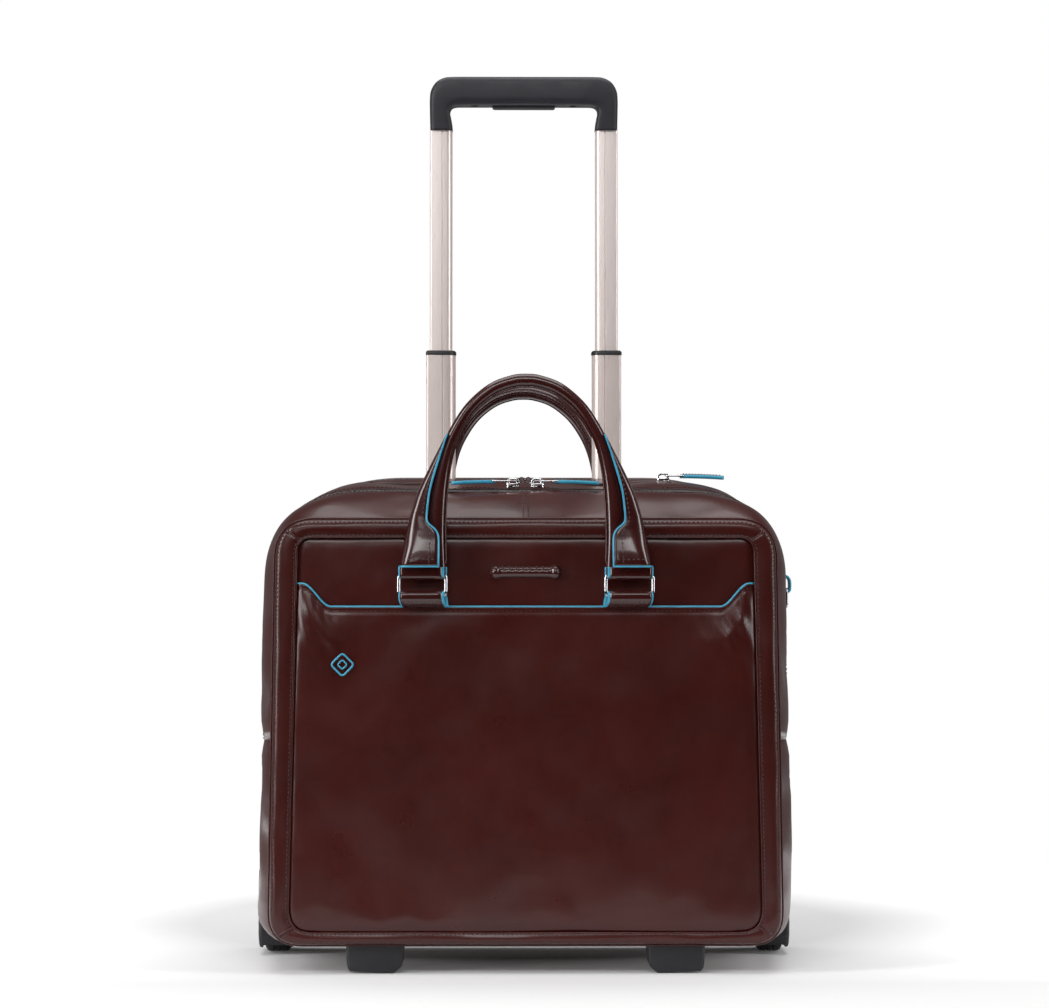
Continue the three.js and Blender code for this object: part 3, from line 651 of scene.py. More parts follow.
def build_gussets():
    front = gusset_rows(FRONT_DEPTHS, 2.6, seed=1.0)
    back = gusset_rows(BACK_DEPTHS, 2.4, seed=2.0)
    between = np.linspace(ZIP_FRONT_Y, ZIP_BACK_Y, 4)
    web = np.stack([
        front[-1] * (1 - t) + back[0] * t for t in (between - ZIP_FRONT_Y) / (ZIP_BACK_Y - ZIP_FRONT_Y)
    ])
    lower = np.concatenate([front, web[1:-1], back])
    lower_depths = np.concatenate([FRONT_DEPTHS, between[1:-1], BACK_DEPTHS])

    # The two lower back corners make room for the wheel housings.
    keep = band(len(lower_depths), LOWER_CELLS)
    room = [c for c in LOWER_CELLS if BOTTOM_STEPS + 1 <= min(c, LOOP_COUNT - 1 - c) < ROOM_INDEX]
    keep[np.ix_(lower_depths[:-1] > ROOM_FRONT - 0.1, room)] = False
    parts = Parts()
    parts.shell(lower, inner_skin(lower_depths), keep, closed=True)
    piece = parts.make("gusset_lower", [LEATHER_BODY, LINING])
    finish_piece(piece, "cover_fold", ["base_gusset"])

    parts = Parts()
    parts.shell(front, inner_skin(FRONT_DEPTHS), band(len(FRONT_DEPTHS), UPPER_CELLS), closed=True)
    piece = parts.make("gusset_front", [LEATHER_BODY, LINING])
    finish_piece(piece, "cover_fold", ["front_gusset"])

    for front_y, back_y, ends in (
        (low("laptop_zip_tape")[1] - 0.4, high("laptop_zip_tape")[1] + 0.4,
         (LAPTOP_ZIP["left"], LAPTOP_ZIP["right"])),
        (low("top_bezel")[1] - 0.4, BACK_Y, (-BEZEL_HALF, BEZEL_HALF)),
    ):
        for r in np.nonzero((BACK_DEPTHS > front_y) & (BACK_DEPTHS < back_y))[0]:
            for x in ends:
                near = SEAM_INDEX + int(np.argmin(np.abs(back[r, SEAM_INDEX:LEFT_SEAM_INDEX, 0] - x)))
                back[r, near, 0] = x
    keep = band(len(BACK_DEPTHS), UPPER_CELLS)
    slot_front, slot_back = low("laptop_zip_tape")[1] - 0.3, high("laptop_zip_tape")[1] + 0.3
    bezel_front = low("top_bezel")[1] - 0.3
    for r in range(len(BACK_DEPTHS) - 1):
        y = (BACK_DEPTHS[r] + BACK_DEPTHS[r + 1]) / 2
        for c in UPPER_CELLS:
            x = (back[r, c, 0] + back[r, c + 1, 0]) / 2
            if back[r, c, 2] < 365:
                continue
            in_slot = slot_front < y < slot_back and LAPTOP_ZIP["left"] < x < LAPTOP_ZIP["right"]
            in_bezel = y > bezel_front and abs(x) < BEZEL_HALF
            if in_slot or in_bezel:
                keep[r, c] = False
    parts = Parts()
    parts.shell(back, inner_skin(BACK_DEPTHS), keep, closed=True)
    piece = parts.make("gusset_rear", [LEATHER_BODY, LINING])
    finish_piece(piece, "case", ["rear_gusset"])
    return front, back


gusset_front_rows, gusset_back_rows = build_gussets()

# ---------------------------------------------------------------- front frame, panel and pocket

PANEL = [182, 175, 335, 18, 11]  # half-widths, top and corner radii, as in STATIONS
PANEL_BOTTOM = 33.0
PANEL_Y = low("front_panel_upper")[1]
POCKET_Y = low("front_pocket_upper")[1]


def panel_loop(y, inset=0.0):
    b, t, top, rb, rt = PANEL
    half = half_loop([b - inset, t - inset, top - inset, max(1, rb - inset), max(1, rt - inset)],
                     PANEL_BOTTOM + inset)
    flat = np.vstack([half, half[1:-1][::-1] * [-1, 1]])
    return np.stack([flat[:, 0], np.full(len(flat), float(y)), flat[:, 1]], axis=1)


# Across the frame, from the panel's seam to the outer edge: share of the width, and depth.
FRAME_PROFILE = [
    (-0.05, -91.5), (-0.03, -93.6), (0.0, -95.0), (0.035, -95.9), (0.08, -96.5), (0.14, -96.8), (0.2, -97.0),
    (0.28, -97.2), (0.38, -97.4), (0.5, -97.5), (0.64, -97.3), (0.76, -96.8), (0.86, -95.9), (0.93, -94.7),
    (0.975, -93.2), (1.0, -91.0),
]
CORNER_SPANS = [(BOTTOM_STEPS, BOTTOM_CORNER_STEPS), (CORNER_INDEX, CORNER_STEPS)]


def mitre_columns():
    """The columns at the middle of the four corners."""
    right = [start + steps // 2 for start, steps in CORNER_SPANS]
    return right + [LOOP_COUNT - c for c in right]


def build_frame():
    inner, outer = panel_loop(0, -0.6), loop_at(RIM_Y, 1.2)
    rows = []
    for share, depth in FRAME_PROFILE:
        row = inner + (outer - inner) * share
        row[:, 1] = depth
        rows.append(row)
    rows = np.array(rows)
    # Mitre seams: a narrow groove across the frame at each corner.
    for column in mitre_columns():
        for offset, depth in ((-1, 0.15), (0, 0.9), (1, 0.15)):
            rows[2:-2, (column + offset) % LOOP_COUNT, 1] += depth
    share = np.array([s for s, _ in FRAME_PROFILE])
    soft = np.clip(np.sin(math.pi * np.clip((share - 0.2) / 0.75, 0, 1)), 0, 1)[:, None]
    rows[:, :, 1] += (wobble(rows, 45, 1.2, 5.0) + wobble(rows, 16, 0.5, 6.0)) * soft
    back = rows.copy()
    back[:, :, 1] = RIM_Y - 0.4
    parts = Parts()
    parts.shell(rows, back, closed=True, slots=(0, 0, 0))
    piece = parts.make("front_frame", [LEATHER_BODY])
    finish_piece(piece, "cover_fold", ["front_frame_lower", "front_frame_upper"])

    welt = Parts()
    edge = resample(loop_at(RIM_Y, 0.5), 4, closed=True)
    sweep(welt, edge + [0, 0.9, 0], circle_section(0.9, 10), (0, 1, 0), closed=True)
    finish_piece(welt.make("front_welt", [LEATHER_BODY]), "cover_fold")

    piping = Parts()
    edge = resample(panel_loop(-95.6, -1.3), 3, closed=True)
    sweep(piping, edge, circle_section(1.15, 10), (0, 1, 0), closed=True)
    finish_piece(piping.make("front_panel_piping", [LEATHER_BODY]), "cover_fold")

    threads = Parts()
    for row in (5, -4):
        stitch(threads, resample(rows[row], 1.5, closed=True), (0, -1, 0), closed=True)
    folds = Parts()
    for column in mitre_columns():
        run = rows[3:-2, column]
        across = np.cross(tangents(run), (0, 1, 0))
        sweep(folds, resample(run + [0, -0.25, 0], 1.0),
              [(0.9 * u, 0.6 * v) for u, v in circle_section(1, 8)], (0, -1, 0))
        stitch(threads, (run + across * 2.2 + [0, -0.35, 0])[1:-1], (0, -1, 0), pitch=2.8, length=1.8)
    finish_piece(folds.make("front_frame_mitres", [LEATHER_BODY]), "cover_fold")
    piece = threads.make("front_frame_stitches", [THREAD])
    finish_piece(piece, "cover_fold")


def panel_half(z):
    """The half-width of the panel's opening at a height, rounded corners included."""
    b, t, top, rb, rt = PANEL
    z = min(max(z, PANEL_BOTTOM), top)

    def side(level):
        return b - (b - t) * (level - PANEL_BOTTOM) / (top - PANEL_BOTTOM)

    if z < PANEL_BOTTOM + rb:
        u = math.sqrt((z - PANEL_BOTTOM) / rb)
        return b - rb * (1 - u) ** 2 - u ** 2 * (b - side(PANEL_BOTTOM + rb))
    if z > top - rt:
        u = math.sqrt((top - z) / rt)
        return t - rt * (1 - u) ** 2 + u ** 2 * (side(top - rt) - t)
    return side(z)


POCKET_END_Z = high("front_pocket_upper")[2]
STEP_IN, STEP_OUT = 150, 172


def pocket_top(x):
    """The height of the pocket's edge: straight, stepping up in an S near both ends."""
    t = np.clip((abs(x) - STEP_IN) / (STEP_OUT - STEP_IN), 0, 1)
    return POCKET_EDGE_Z + (POCKET_END_Z - POCKET_EDGE_Z - 0.6) * (t * t * (3 - 2 * t))


def sheet_rows(bottom, top_of, count_z, count_x, depth_of, reach=0.8):
    """A grid over the panel's opening from a level up to a top edge; depth_of gives the Y of a point."""
    rows = []
    for v in eased(0, 1, count_z):
        row = []
        for u in eased(-1, 1, count_x):
            x = u * panel_half(bottom + v * 120)
            for _ in range(3):
                z = bottom + v * (top_of(x) - bottom)
                x = u * (panel_half(z) + reach)
            row.append((x, depth_of(x, z, u, v), z))
        rows.append(row)
    return np.array(rows)


def rise(distance, width):
    """0 at a seam, turning smoothly to 1 at a distance of a width from it."""
    t = np.clip(distance / width, 0, 1)
    return math.sqrt(max(0.0, 1 - (1 - t) ** 2))


def build_panel():
    def depth(x, z, u, v):
        edge = min(panel_half(z) - abs(x), 335 - z)
        return PANEL_Y + 1.6 - 2.6 * rise(edge + 1, 9) - 0.8 * math.cos(u * 1.4) ** 2
    rows = sheet_rows(262, lambda x: 335.4, 26, 110, depth)
    rows[:, :, 1] += wobble(rows, 38, 0.8, 9.0) + wobble(rows, 13, 0.2, 10.0)
    back = rows.copy()
    back[:, :, 1] = PANEL_Y + 3.2
    parts = Parts()
    parts.shell(rows, back, slots=(0, 0, 0))
    piece = parts.make("front_panel", [LEATHER_BODY])
    finish_piece(piece, "front_cover", ["front_panel_lower", "front_panel_upper"])


def build_pocket():
    def depth(x, z, u, v):
        side = min(panel_half(z) - abs(x) + 1, z - PANEL_BOTTOM + 1)
        crown = 1.7 * math.cos(u * 1.45) * math.sin(math.pi * min(1, v * 0.85 + 0.1))
        return -93.2 - 3.5 * rise(side, 11) - crown
    rows = sheet_rows(PANEL_BOTTOM - 0.6, pocket_top, 70, 120, depth)
    flat = rows.reshape(-1, 3)
    top_gap = np.array([pocket_top(x) - z for x, _, z in flat]).reshape(rows.shape[:2])
    side_gap = np.array([panel_half(z) - abs(x) for x, _, z in flat]).reshape(rows.shape[:2])
    soft = np.clip(side_gap / 12, 0, 1)
    rows[:, :,
         1] += (wobble(rows, 75, 1.7, 12.0) + wobble(rows, 26, 0.4, 13.0)) * soft * np.clip(top_gap / 14,
                                                                                            0.12, 1)
    # Puckers run down from the stitches, deepest under the steps, and in from the side seams.
    under_step = np.clip((np.abs(rows[:, :, 0]) - STEP_IN + 22) / 20, 0.18, 1)
    pucker = np.sin(rows[:, :, 0] * 2 * math.pi / 6.8) * np.exp(-np.maximum(top_gap - 3, 0) / 5.5)
    rows[:, :, 1] += 0.34 * pucker * under_step * np.clip(top_gap / 3, 0, 1)
    # The upper ends are pulled in by the side seams and stand out below the steps.
    near_end = np.clip((np.abs(rows[:, :, 0]) - 128) / 30, 0, 1) * np.clip(side_gap / 9, 0, 1)
    slope = np.clip(top_gap / 26, 0, 1) * np.exp(-np.maximum(top_gap - 26, 0) / 22)
    fold = 1 + 0.35 * np.sin((rows[:, :, 0] + 0.6 * rows[:, :, 2]) * 2 * math.pi / 17)
    rows[:, :, 1] -= 3.4 * near_end * slope * fold
    groove = np.exp(-((top_gap - 3.4) / 1.1) ** 2)
    rows[:, :, 1] += 0.8 * groove
    held = np.zeros(rows.shape[:2], bool)
    held[[0, 1, -4, -3, -2, -1]] = True
    held[:, [0, 1, -2, -1]] = True
    rows = rows + (relaxed(rows, held, 0.002, 1.2) - rows) * 0.4
    back = rows.copy()
    back[:, :, 1] = np.minimum(rows[:, :, 1] + 2.3, -92.9)
    parts = Parts()
    parts.shell(rows, back, slots=(0, 1, 0))
    piece = parts.make("front_pocket", [LEATHER_BODY, LINING])
    finish_piece(piece, "cover_fold", ["front_pocket_lower", "front_pocket_upper"])

    edge = Parts()
    x = np.linspace(-panel_half(300) - 1, panel_half(300) + 1, 400)
    line = resample(np.stack([x, np.full_like(x, 0), np.array([pocket_top(v) for v in x])], axis=1), 2.2)
    top_front = rows[-1]
    line[:, 1] = np.interp(line[:, 0], top_front[:, 0], top_front[:, 1]) + 0.95
    section = [(-1.0, 0.6), (0.0, 0.75), (1.0, 0.6), (1.35, 0.1), (1.1, -0.6), (-1.1, -0.6), (-1.35, 0.1)]
    sweep(edge, line, [(a, b) for a, b in section], (0, 0, 1))
    finish_piece(edge.make("pocket_edge", [EDGE_BLUE]), "front_cover")

    threads = Parts()
    line = np.stack([x, np.zeros_like(x), np.array([pocket_top(v) for v in x]) - 3.4], axis=1)
    line = line[np.abs(line[:, 0]) < panel_half(296) - 2]
    line[:, 1] = np.interp(line[:, 0], rows[-3][:, 0], rows[-3][:, 1]) + 0.1
    stitch(threads, line, (0, -1, 0), pitch=3.6, length=2.3, width=1.0, lift=-0.1)
    finish_piece(threads.make("pocket_stitches", [THREAD]), "front_cover")


build_frame()
build_panel()
build_pocket()

# ---------------------------------------------------------------- zips

TAPE_SINK = 1.9
TOOTH_PITCH = 1.9


def teeth(parts, path, across, out, reach, first=0.0, slot=0):
    """Coil teeth along a path, each reaching to one side over the zip's middle."""
    points = resample(path, TOOTH_PITCH)
    t = tangents(points)
    for p, along in zip(points, t):
        side = np.asarray(across, float)
        up = out(p)
        base = p + along * first + up * 0.35
        near, far = base - side * 0.9, base + side * reach
        w, h = along * 0.48, up * 0.85
        verts = [near - w, near + w, near + w * 0.8 + h, near - w * 0.8 + h,
                 far - w, far + w, far + w * 0.6 + h * 0.75, far - w * 0.6 + h * 0.75]
        parts.add(verts, [[0, 3, 2, 1], [4, 5, 6, 7], [0, 4, 7, 3], [1, 2, 6, 5], [3, 7, 6, 2]], slot)


def away_from_case(p):
    """The outward direction at a point of the zip's line."""
    i = int(np.argmin(((ZIP_LINE - p) ** 2).sum(axis=1)))
    return ZIP_NORMALS[i]


ZIP_LINE = loop_at(ZIP_Y, TAPE_SINK)[SEAM_INDEX:LEFT_SEAM_INDEX + 1]
ZIP_NORMALS = np.cross(tangents(ZIP_LINE), (0, -1, 0))
if ZIP_NORMALS[0] @ [1, 0, 0] < 0:
    ZIP_NORMALS = -ZIP_NORMALS


def build_main_zip():
    sides = (
        ("front", -1, "cover_fold", ZIP_FRONT_Y, "zip_tape_front"),
        ("rear", 1, "case", ZIP_BACK_Y, "zip_tape_rear"),
    )
    for name, sign, body, edge_y, node in sides:
        parts = Parts()
        depths = np.linspace(edge_y - sign * -0.8, ZIP_Y + sign * 0.15, 5)
        rows = np.stack([loop_at(y, TAPE_SINK)[SEAM_INDEX:LEFT_SEAM_INDEX + 1] for y in depths])
        rows[1:4] -= ZIP_NORMALS * 0.15
        under = rows - ZIP_NORMALS * 0.8
        parts.shell(rows, under, slots=(0, 0, 0))
        finish_piece(parts.make("zip_tape_" + name + "_web", [TAPE]), body, [node])
        coil = Parts()
        line = ZIP_LINE + [0, sign * 0.75, 0]
        teeth(coil, line, (0, -sign, 0), away_from_case, 1.35, first=0.0 if sign < 0 else TOOTH_PITCH / 2)
        finish_piece(coil.make("zip_coil_" + name, [COIL]), body)


def build_laptop_zip():
    (x0, y0, z0), (x1, y1, z1) = low("laptop_zip_tape"), high("laptop_zip_tape")
    parts = Parts()
    x = np.linspace(x0, x1, 40)
    rows = np.stack([np.stack([x, np.full_like(x, y), np.full_like(x, z1 - dip)], axis=1)
                     for y, dip in zip(np.linspace(y0, y1, 5), (0, 0.2, 0.5, 0.2, 0))])
    parts.shell(rows, rows - [0, 0, z1 - z0 - 0.4], slots=(0, 0, 0))
    finish_piece(parts.make("laptop_zip_web", [TAPE]), "case", ["laptop_zip_tape"])
    coil = Parts()
    for sign in (-1, 1):
        line = np.array([[x0 + 3, (y0 + y1) / 2 + sign * 0.75, z1 - 0.5],
                         [x1 - 3, (y0 + y1) / 2 + sign * 0.75, z1 - 0.5]])
        teeth(coil, line, (0, -sign, 0), lambda p: np.array([0, 0, 1.0]), 1.35,
              0 if sign < 0 else TOOTH_PITCH / 2)
    finish_piece(coil.make("laptop_zip_coil", [COIL]), "case")


def ring_path(centre, across, up, half_width, half_height, corner, step=0.6):
    """A closed rounded rectangle round a centre, in the plane of two directions."""
    centre, across, up = (np.asarray(v, float) for v in (centre, across, up))
    points = []
    for sx, sy, start in ((1, 1, 0), (-1, 1, 90), (-1, -1, 180), (1, -1, 270)):
        for a in np.radians(np.linspace(start, start + 90, 7)):
            points.append(centre + across * (sx * (half_width - corner) + corner * math.cos(a))
                          + up * (sy * (half_height - corner) + corner * math.sin(a)))
    return resample(points, step, closed=True)


def plate(parts, outline, z0, z1, slot=0):
    """A flat plate between two levels, its edge slightly rounded."""
    outline = np.asarray(outline, float)
    centre = outline.mean(axis=0)
    rows = []
    for z, inset in ((z0, 0.25), (z0 + 0.2, 0), (z1 - 0.3, 0), (z1, 0.35)):
        r = outline - centre
        shrink = 1 - inset / np.maximum(np.linalg.norm(r, axis=1, keepdims=True), 1)
        flat = centre + r * shrink
        rows.append(np.column_stack([flat, np.full(len(flat), z)]))
    parts.grid(rows, slot, close_columns=True, caps=True)


def build_slider(name, nose, eyelet):
    """A metal zip slider; nose is the direction in X that it closes towards."""
    node = "slider_" + name
    (x0, y0, z0), (x1, y1, z1) = low(node), high(node)
    cx, cy = (x0 + x1) / 2, (y0 + y1) / 2
    half, wide = (x1 - x0) / 2, (y1 - y0) / 2
    parts = Parts()
    shape = [(-1.0, -0.55), (-0.7, -0.62), (0.1, -1.0), (0.7, -0.95), (1.0, -0.6), (0.72, -0.12),
             (0.72, 0.12), (1.0, 0.6), (0.7, 0.95), (0.1, 1.0), (-0.7, 0.62), (-1.0, 0.55)]
    plate(parts, [(cx - nose * u * half, cy + v * wide) for u, v in shape], z0 + 1.6, z0 + 2.9)
    plate(parts, [(cx - nose * u * half, cy + v * wide) for u, v in shape], z0, z0 + 1.0)
    plate(parts, [(cx + nose * (3.4 + 1.4 * math.cos(a)), cy + 1.5 * math.sin(a))
                  for a in np.linspace(0, 2 * math.pi, 12, endpoint=False)], z0 + 0.9, z0 + 1.8)
    top = z1 - 0.6
    bridge = smooth_path([(cx - half * 0.8, cy, z0 + 2.6), (cx - half * 0.7, cy, top - 0.9),
                          (cx - half * 0.3, cy, top),
                          (cx + half * 0.3, cy, top), (cx + half * 0.7, cy, top - 0.9),
                          (cx + half * 0.8, cy, z0 + 2.6)], 0.5)
    sweep(parts, bridge, [(a * 1.1, b * 0.5) for a, b in circle_section(1, 10)], (0, 1, 0.01))
    if eyelet:
        centre = (cx + nose * (half + 1.9), cy, z0 + 5.6)
        a = np.linspace(0, 2 * math.pi, 24, endpoint=False)
        ring = np.array(centre) + np.stack([2.0 * np.cos(a), 0 * a, 2.2 * np.sin(a)], axis=1)
        sweep(parts, ring, circle_section(0.55, 8), (0, 1, 0), closed=True)
        post = np.array([(cx + nose * half * 0.6, cy, z0 + 2.6), (cx + nose * (half + 0.4), cy, z0 + 3.2),
                         (cx + nose * (half + 1.4), cy, z0 + 3.6)])
        sweep(parts, smooth_path(post, 0.5), circle_section(0.65, 8), (0, 0, 1))
    piece = sharpen(parts.make("zip_" + node, [STEEL]), 40)
    finish_piece(piece, node, [node])


def build_pull(name, away):
    """A wire link and a leather strip with painted edges; away is its direction in X from the slider."""
    node = "pull_" + name
    (x0, y0, z0), (x1, y1, z1) = low(node), high(node)
    cy, cz = (y0 + y1) / 2, (z0 + z1) / 2
    near, far = (x1, x0) if away < 0 else (x0, x1)
    metal = Parts()
    link = ring_path((near + away * 6.6, cy, cz), (1, 0, 0), (0, 1, 0), 6.2, 2.4, 1.9)
    sweep(metal, link, circle_section(0.62, 8), (0, 0, 1), closed=True)
    clamp = ring_path((near + away * 12.6, cy, cz), (1, 0, 0), (0, 1, 0), 2.1, 2.9, 0.6, 0.9)
    sweep(metal, clamp, circle_section(0.8, 8), (0, 0, 1), closed=True)
    finish_piece(metal.make("link_" + name, [STEEL]), node)

    strip = Parts()
    start, end = near + away * 11.8, far - away * 0.2
    rows_top, rows_low = [], []
    for u in np.linspace(0, 1, 36):
        x = start + (end - start) * u
        tip = math.sqrt(max(0.0, 1 - max(0.0, (u - 0.93) / 0.07) ** 2))
        half = 3.25 * (0.72 + 0.28 * min(1, u / 0.22)) * (0.35 + 0.65 * tip)
        puff = 0.45 * math.sin(math.pi * min(1, u * 1.2)) ** 0.5 if 0 < u < 0.83 else 0
        v = np.linspace(-1, 1, 9)
        lens = np.sqrt(np.clip(1 - v ** 4, 0, 1))
        droop = 1.2 * u ** 2
        rows_top.append([(x, cy + half * t, cz + 1.2 + puff * k * 0.4 - 0.3 * (1 - k) - droop) for t,
                         k in zip(v, lens)])
        rows_low.append([(x, cy + half * t, cz - 2.0 - droop + 0.2 * (1 - k)) for t, k in zip(v, lens)])
    strip.shell(np.array(rows_top), np.array(rows_low), slots=(0, 0, 1))
    finish_piece(strip.make("strip_" + name, [LEATHER_HANDLE, EDGE_BLUE]), node, [node])
    threads = Parts()
    for side in (-1, 1):
        line = [(start + (end - start) * u, cy + side * 1.9, cz + 1.5 - 1.2 * u ** 2)
                for u in np.linspace(0.08, 0.9, 24)]
        stitch(threads, line, (0, 0, 1), pitch=2.4, length=1.6, width=0.5)
    finish_piece(threads.make("strip_stitches_" + name, [THREAD]), node)


build_main_zip()
build_laptop_zip()
build_slider("main_left", 1, True)
build_slider("main_right", -1, True)
build_slider("laptop", 1, False)
build_pull("main_left", -1)
build_pull("main_right", 1)
build_pull("laptop", 1)

# ---------------------------------------------------------------- handles, rings and their loops

# The right leg and half of the arch, as (X, Z): the inner edge, the roll's outer edge, the blue
# edge of the leather patch sewn over the roll, and the patch's outer edge.
ROLL_INNER = [(61.4, 304), (61.8, 325), (62, 340), (61.2, 362), (59, 384), (54.5, 405), (47.6, 420.5),
              (37.0, 435), (22.5, 446), (8, 450.8), (0, 451.4)]
ROLL_OUTER = [(72, 304), (73.5, 325), (75.8, 345), (75.2, 362), (70.9, 384), (64, 407), (56, 423.6),
              (44.5, 440), (27.5, 454.2), (10, 460.6), (0, 461.5)]
PATCH_INNER = [(66.9, 313.2), (66.8, 325), (66.9, 335), (67.8, 339), (70, 342.2), (73.3, 344.9),
               (75.6, 347.6),
               (76.1, 351), (75.7, 357), (74, 370.5), (70.5, 384.2), (65.1, 401.4), (60.3, 415)]
PATCH_OUTER = [(97, 313.2), (95.6, 322), (93.8, 331), (92.8, 336), (91.6, 341), (90.4, 345.6), (89.4, 350),
               (88.2, 354.5), (86.4, 360.5), (83.1, 370.5), (76.3, 385.2), (67.9, 402), (60.9, 415.6)]
HANDLE_X = 79.5
LOOP_HALF = 16
STRAP_TWIST = 0.34


def paired(a, b, count):
    """Two smooth outlines with the same number of points, evenly spread along each."""
    out = []
    for points in (a, b):
        dense = smooth_path([(x, 0, z) for x, z in points], 1.0)
        run = np.concatenate([[0], np.cumsum(np.linalg.norm(np.diff(dense, axis=0), axis=1))])
        at = np.linspace(0, run[-1], count)
        out.append(np.stack([np.interp(at, run, dense[:, 0]), np.interp(at, run, dense[:, 2])], axis=1))
    return out


def ribbon(parts, outer, inner, depth, power, y, sides=20, slot=0, caps=True):
    """A body between two outlines in the XZ plane, with a superelliptic cross-section."""
    depth = np.broadcast_to(depth, len(outer))
    power = np.broadcast_to(power, len(outer))
    angles = np.linspace(0, 2 * math.pi, sides, endpoint=False)
    rows = []
    for o, i, d, p in zip(outer, inner, depth, power):
        c, s = np.cos(angles), np.sin(angles)
        u = np.sign(c) * np.abs(c) ** (2 / p)
        v = np.sign(s) * np.abs(s) ** (2 / p)
        flat = (o + i) / 2 + np.outer(u, (o - i) / 2)
        rows.append(np.stack([flat[:, 0], y + d * v, flat[:, 1]], axis=1))
    parts.grid(rows, slot, close_columns=True, caps=caps)
    return np.array(rows)


def strap_loop(parts, path, x0, x1, thick, y, twist):
    """A leather strap bent along a path of (Y, Z), with painted edges; twist shifts it in X with depth."""
    path = smooth_path([(0, y, z) for y, z in path], 0.8)
    t = tangents(path)
    n = np.cross(t, (1, 0, 0))
    across = np.linspace(x0, x1, 13)
    edge = np.clip(np.minimum(across - x0, x1 - across) / 1.6, 0, 1)
    soft = 1 - 0.32 * (1 - np.sqrt(1 - (1 - edge) ** 2))
    outer = np.array([[p + [x, 0, 0] + m * thick / 2 * k for x, k in zip(across, soft)] for p,
                      m in zip(path, n)])
    inner = np.array([[p + [x, 0, 0] - m * thick / 2 * k for x, k in zip(across, soft)] for p,
                      m in zip(path, n)])
    for skin in (outer, inner):
        skin[:, :, 0] += twist * (skin[:, :, 1] - y)
    parts.shell(outer, inner, slots=(0, 0, 1))
    for column, side in ((0, -1), (-1, 1)):
        bead = (outer[:, column] + inner[:, column]) / 2 + [side * 0.2, 0, 0]
        wide = 1.75 if side * (x0 + x1) < 0 else 1.1
        sweep(parts, bead, [(0.75 * a, wide * b) for a, b in circle_section(1, 8)], (1, 0, 0), slot=1)


def bar_wrap(y, z, radius, start, end, count=9):
    """Points round a bar, from one angle to another, in degrees from +Y towards +Z."""
    return [(y + radius * math.cos(a), z + radius * math.sin(a))
            for a in np.radians(np.linspace(start, end, count))]


def raised(points, by):
    """Outline points with the arch lifted."""
    return [(x, z + by * min(1.0, max(0.0, (z - 330) / 120))) for x, z in points]


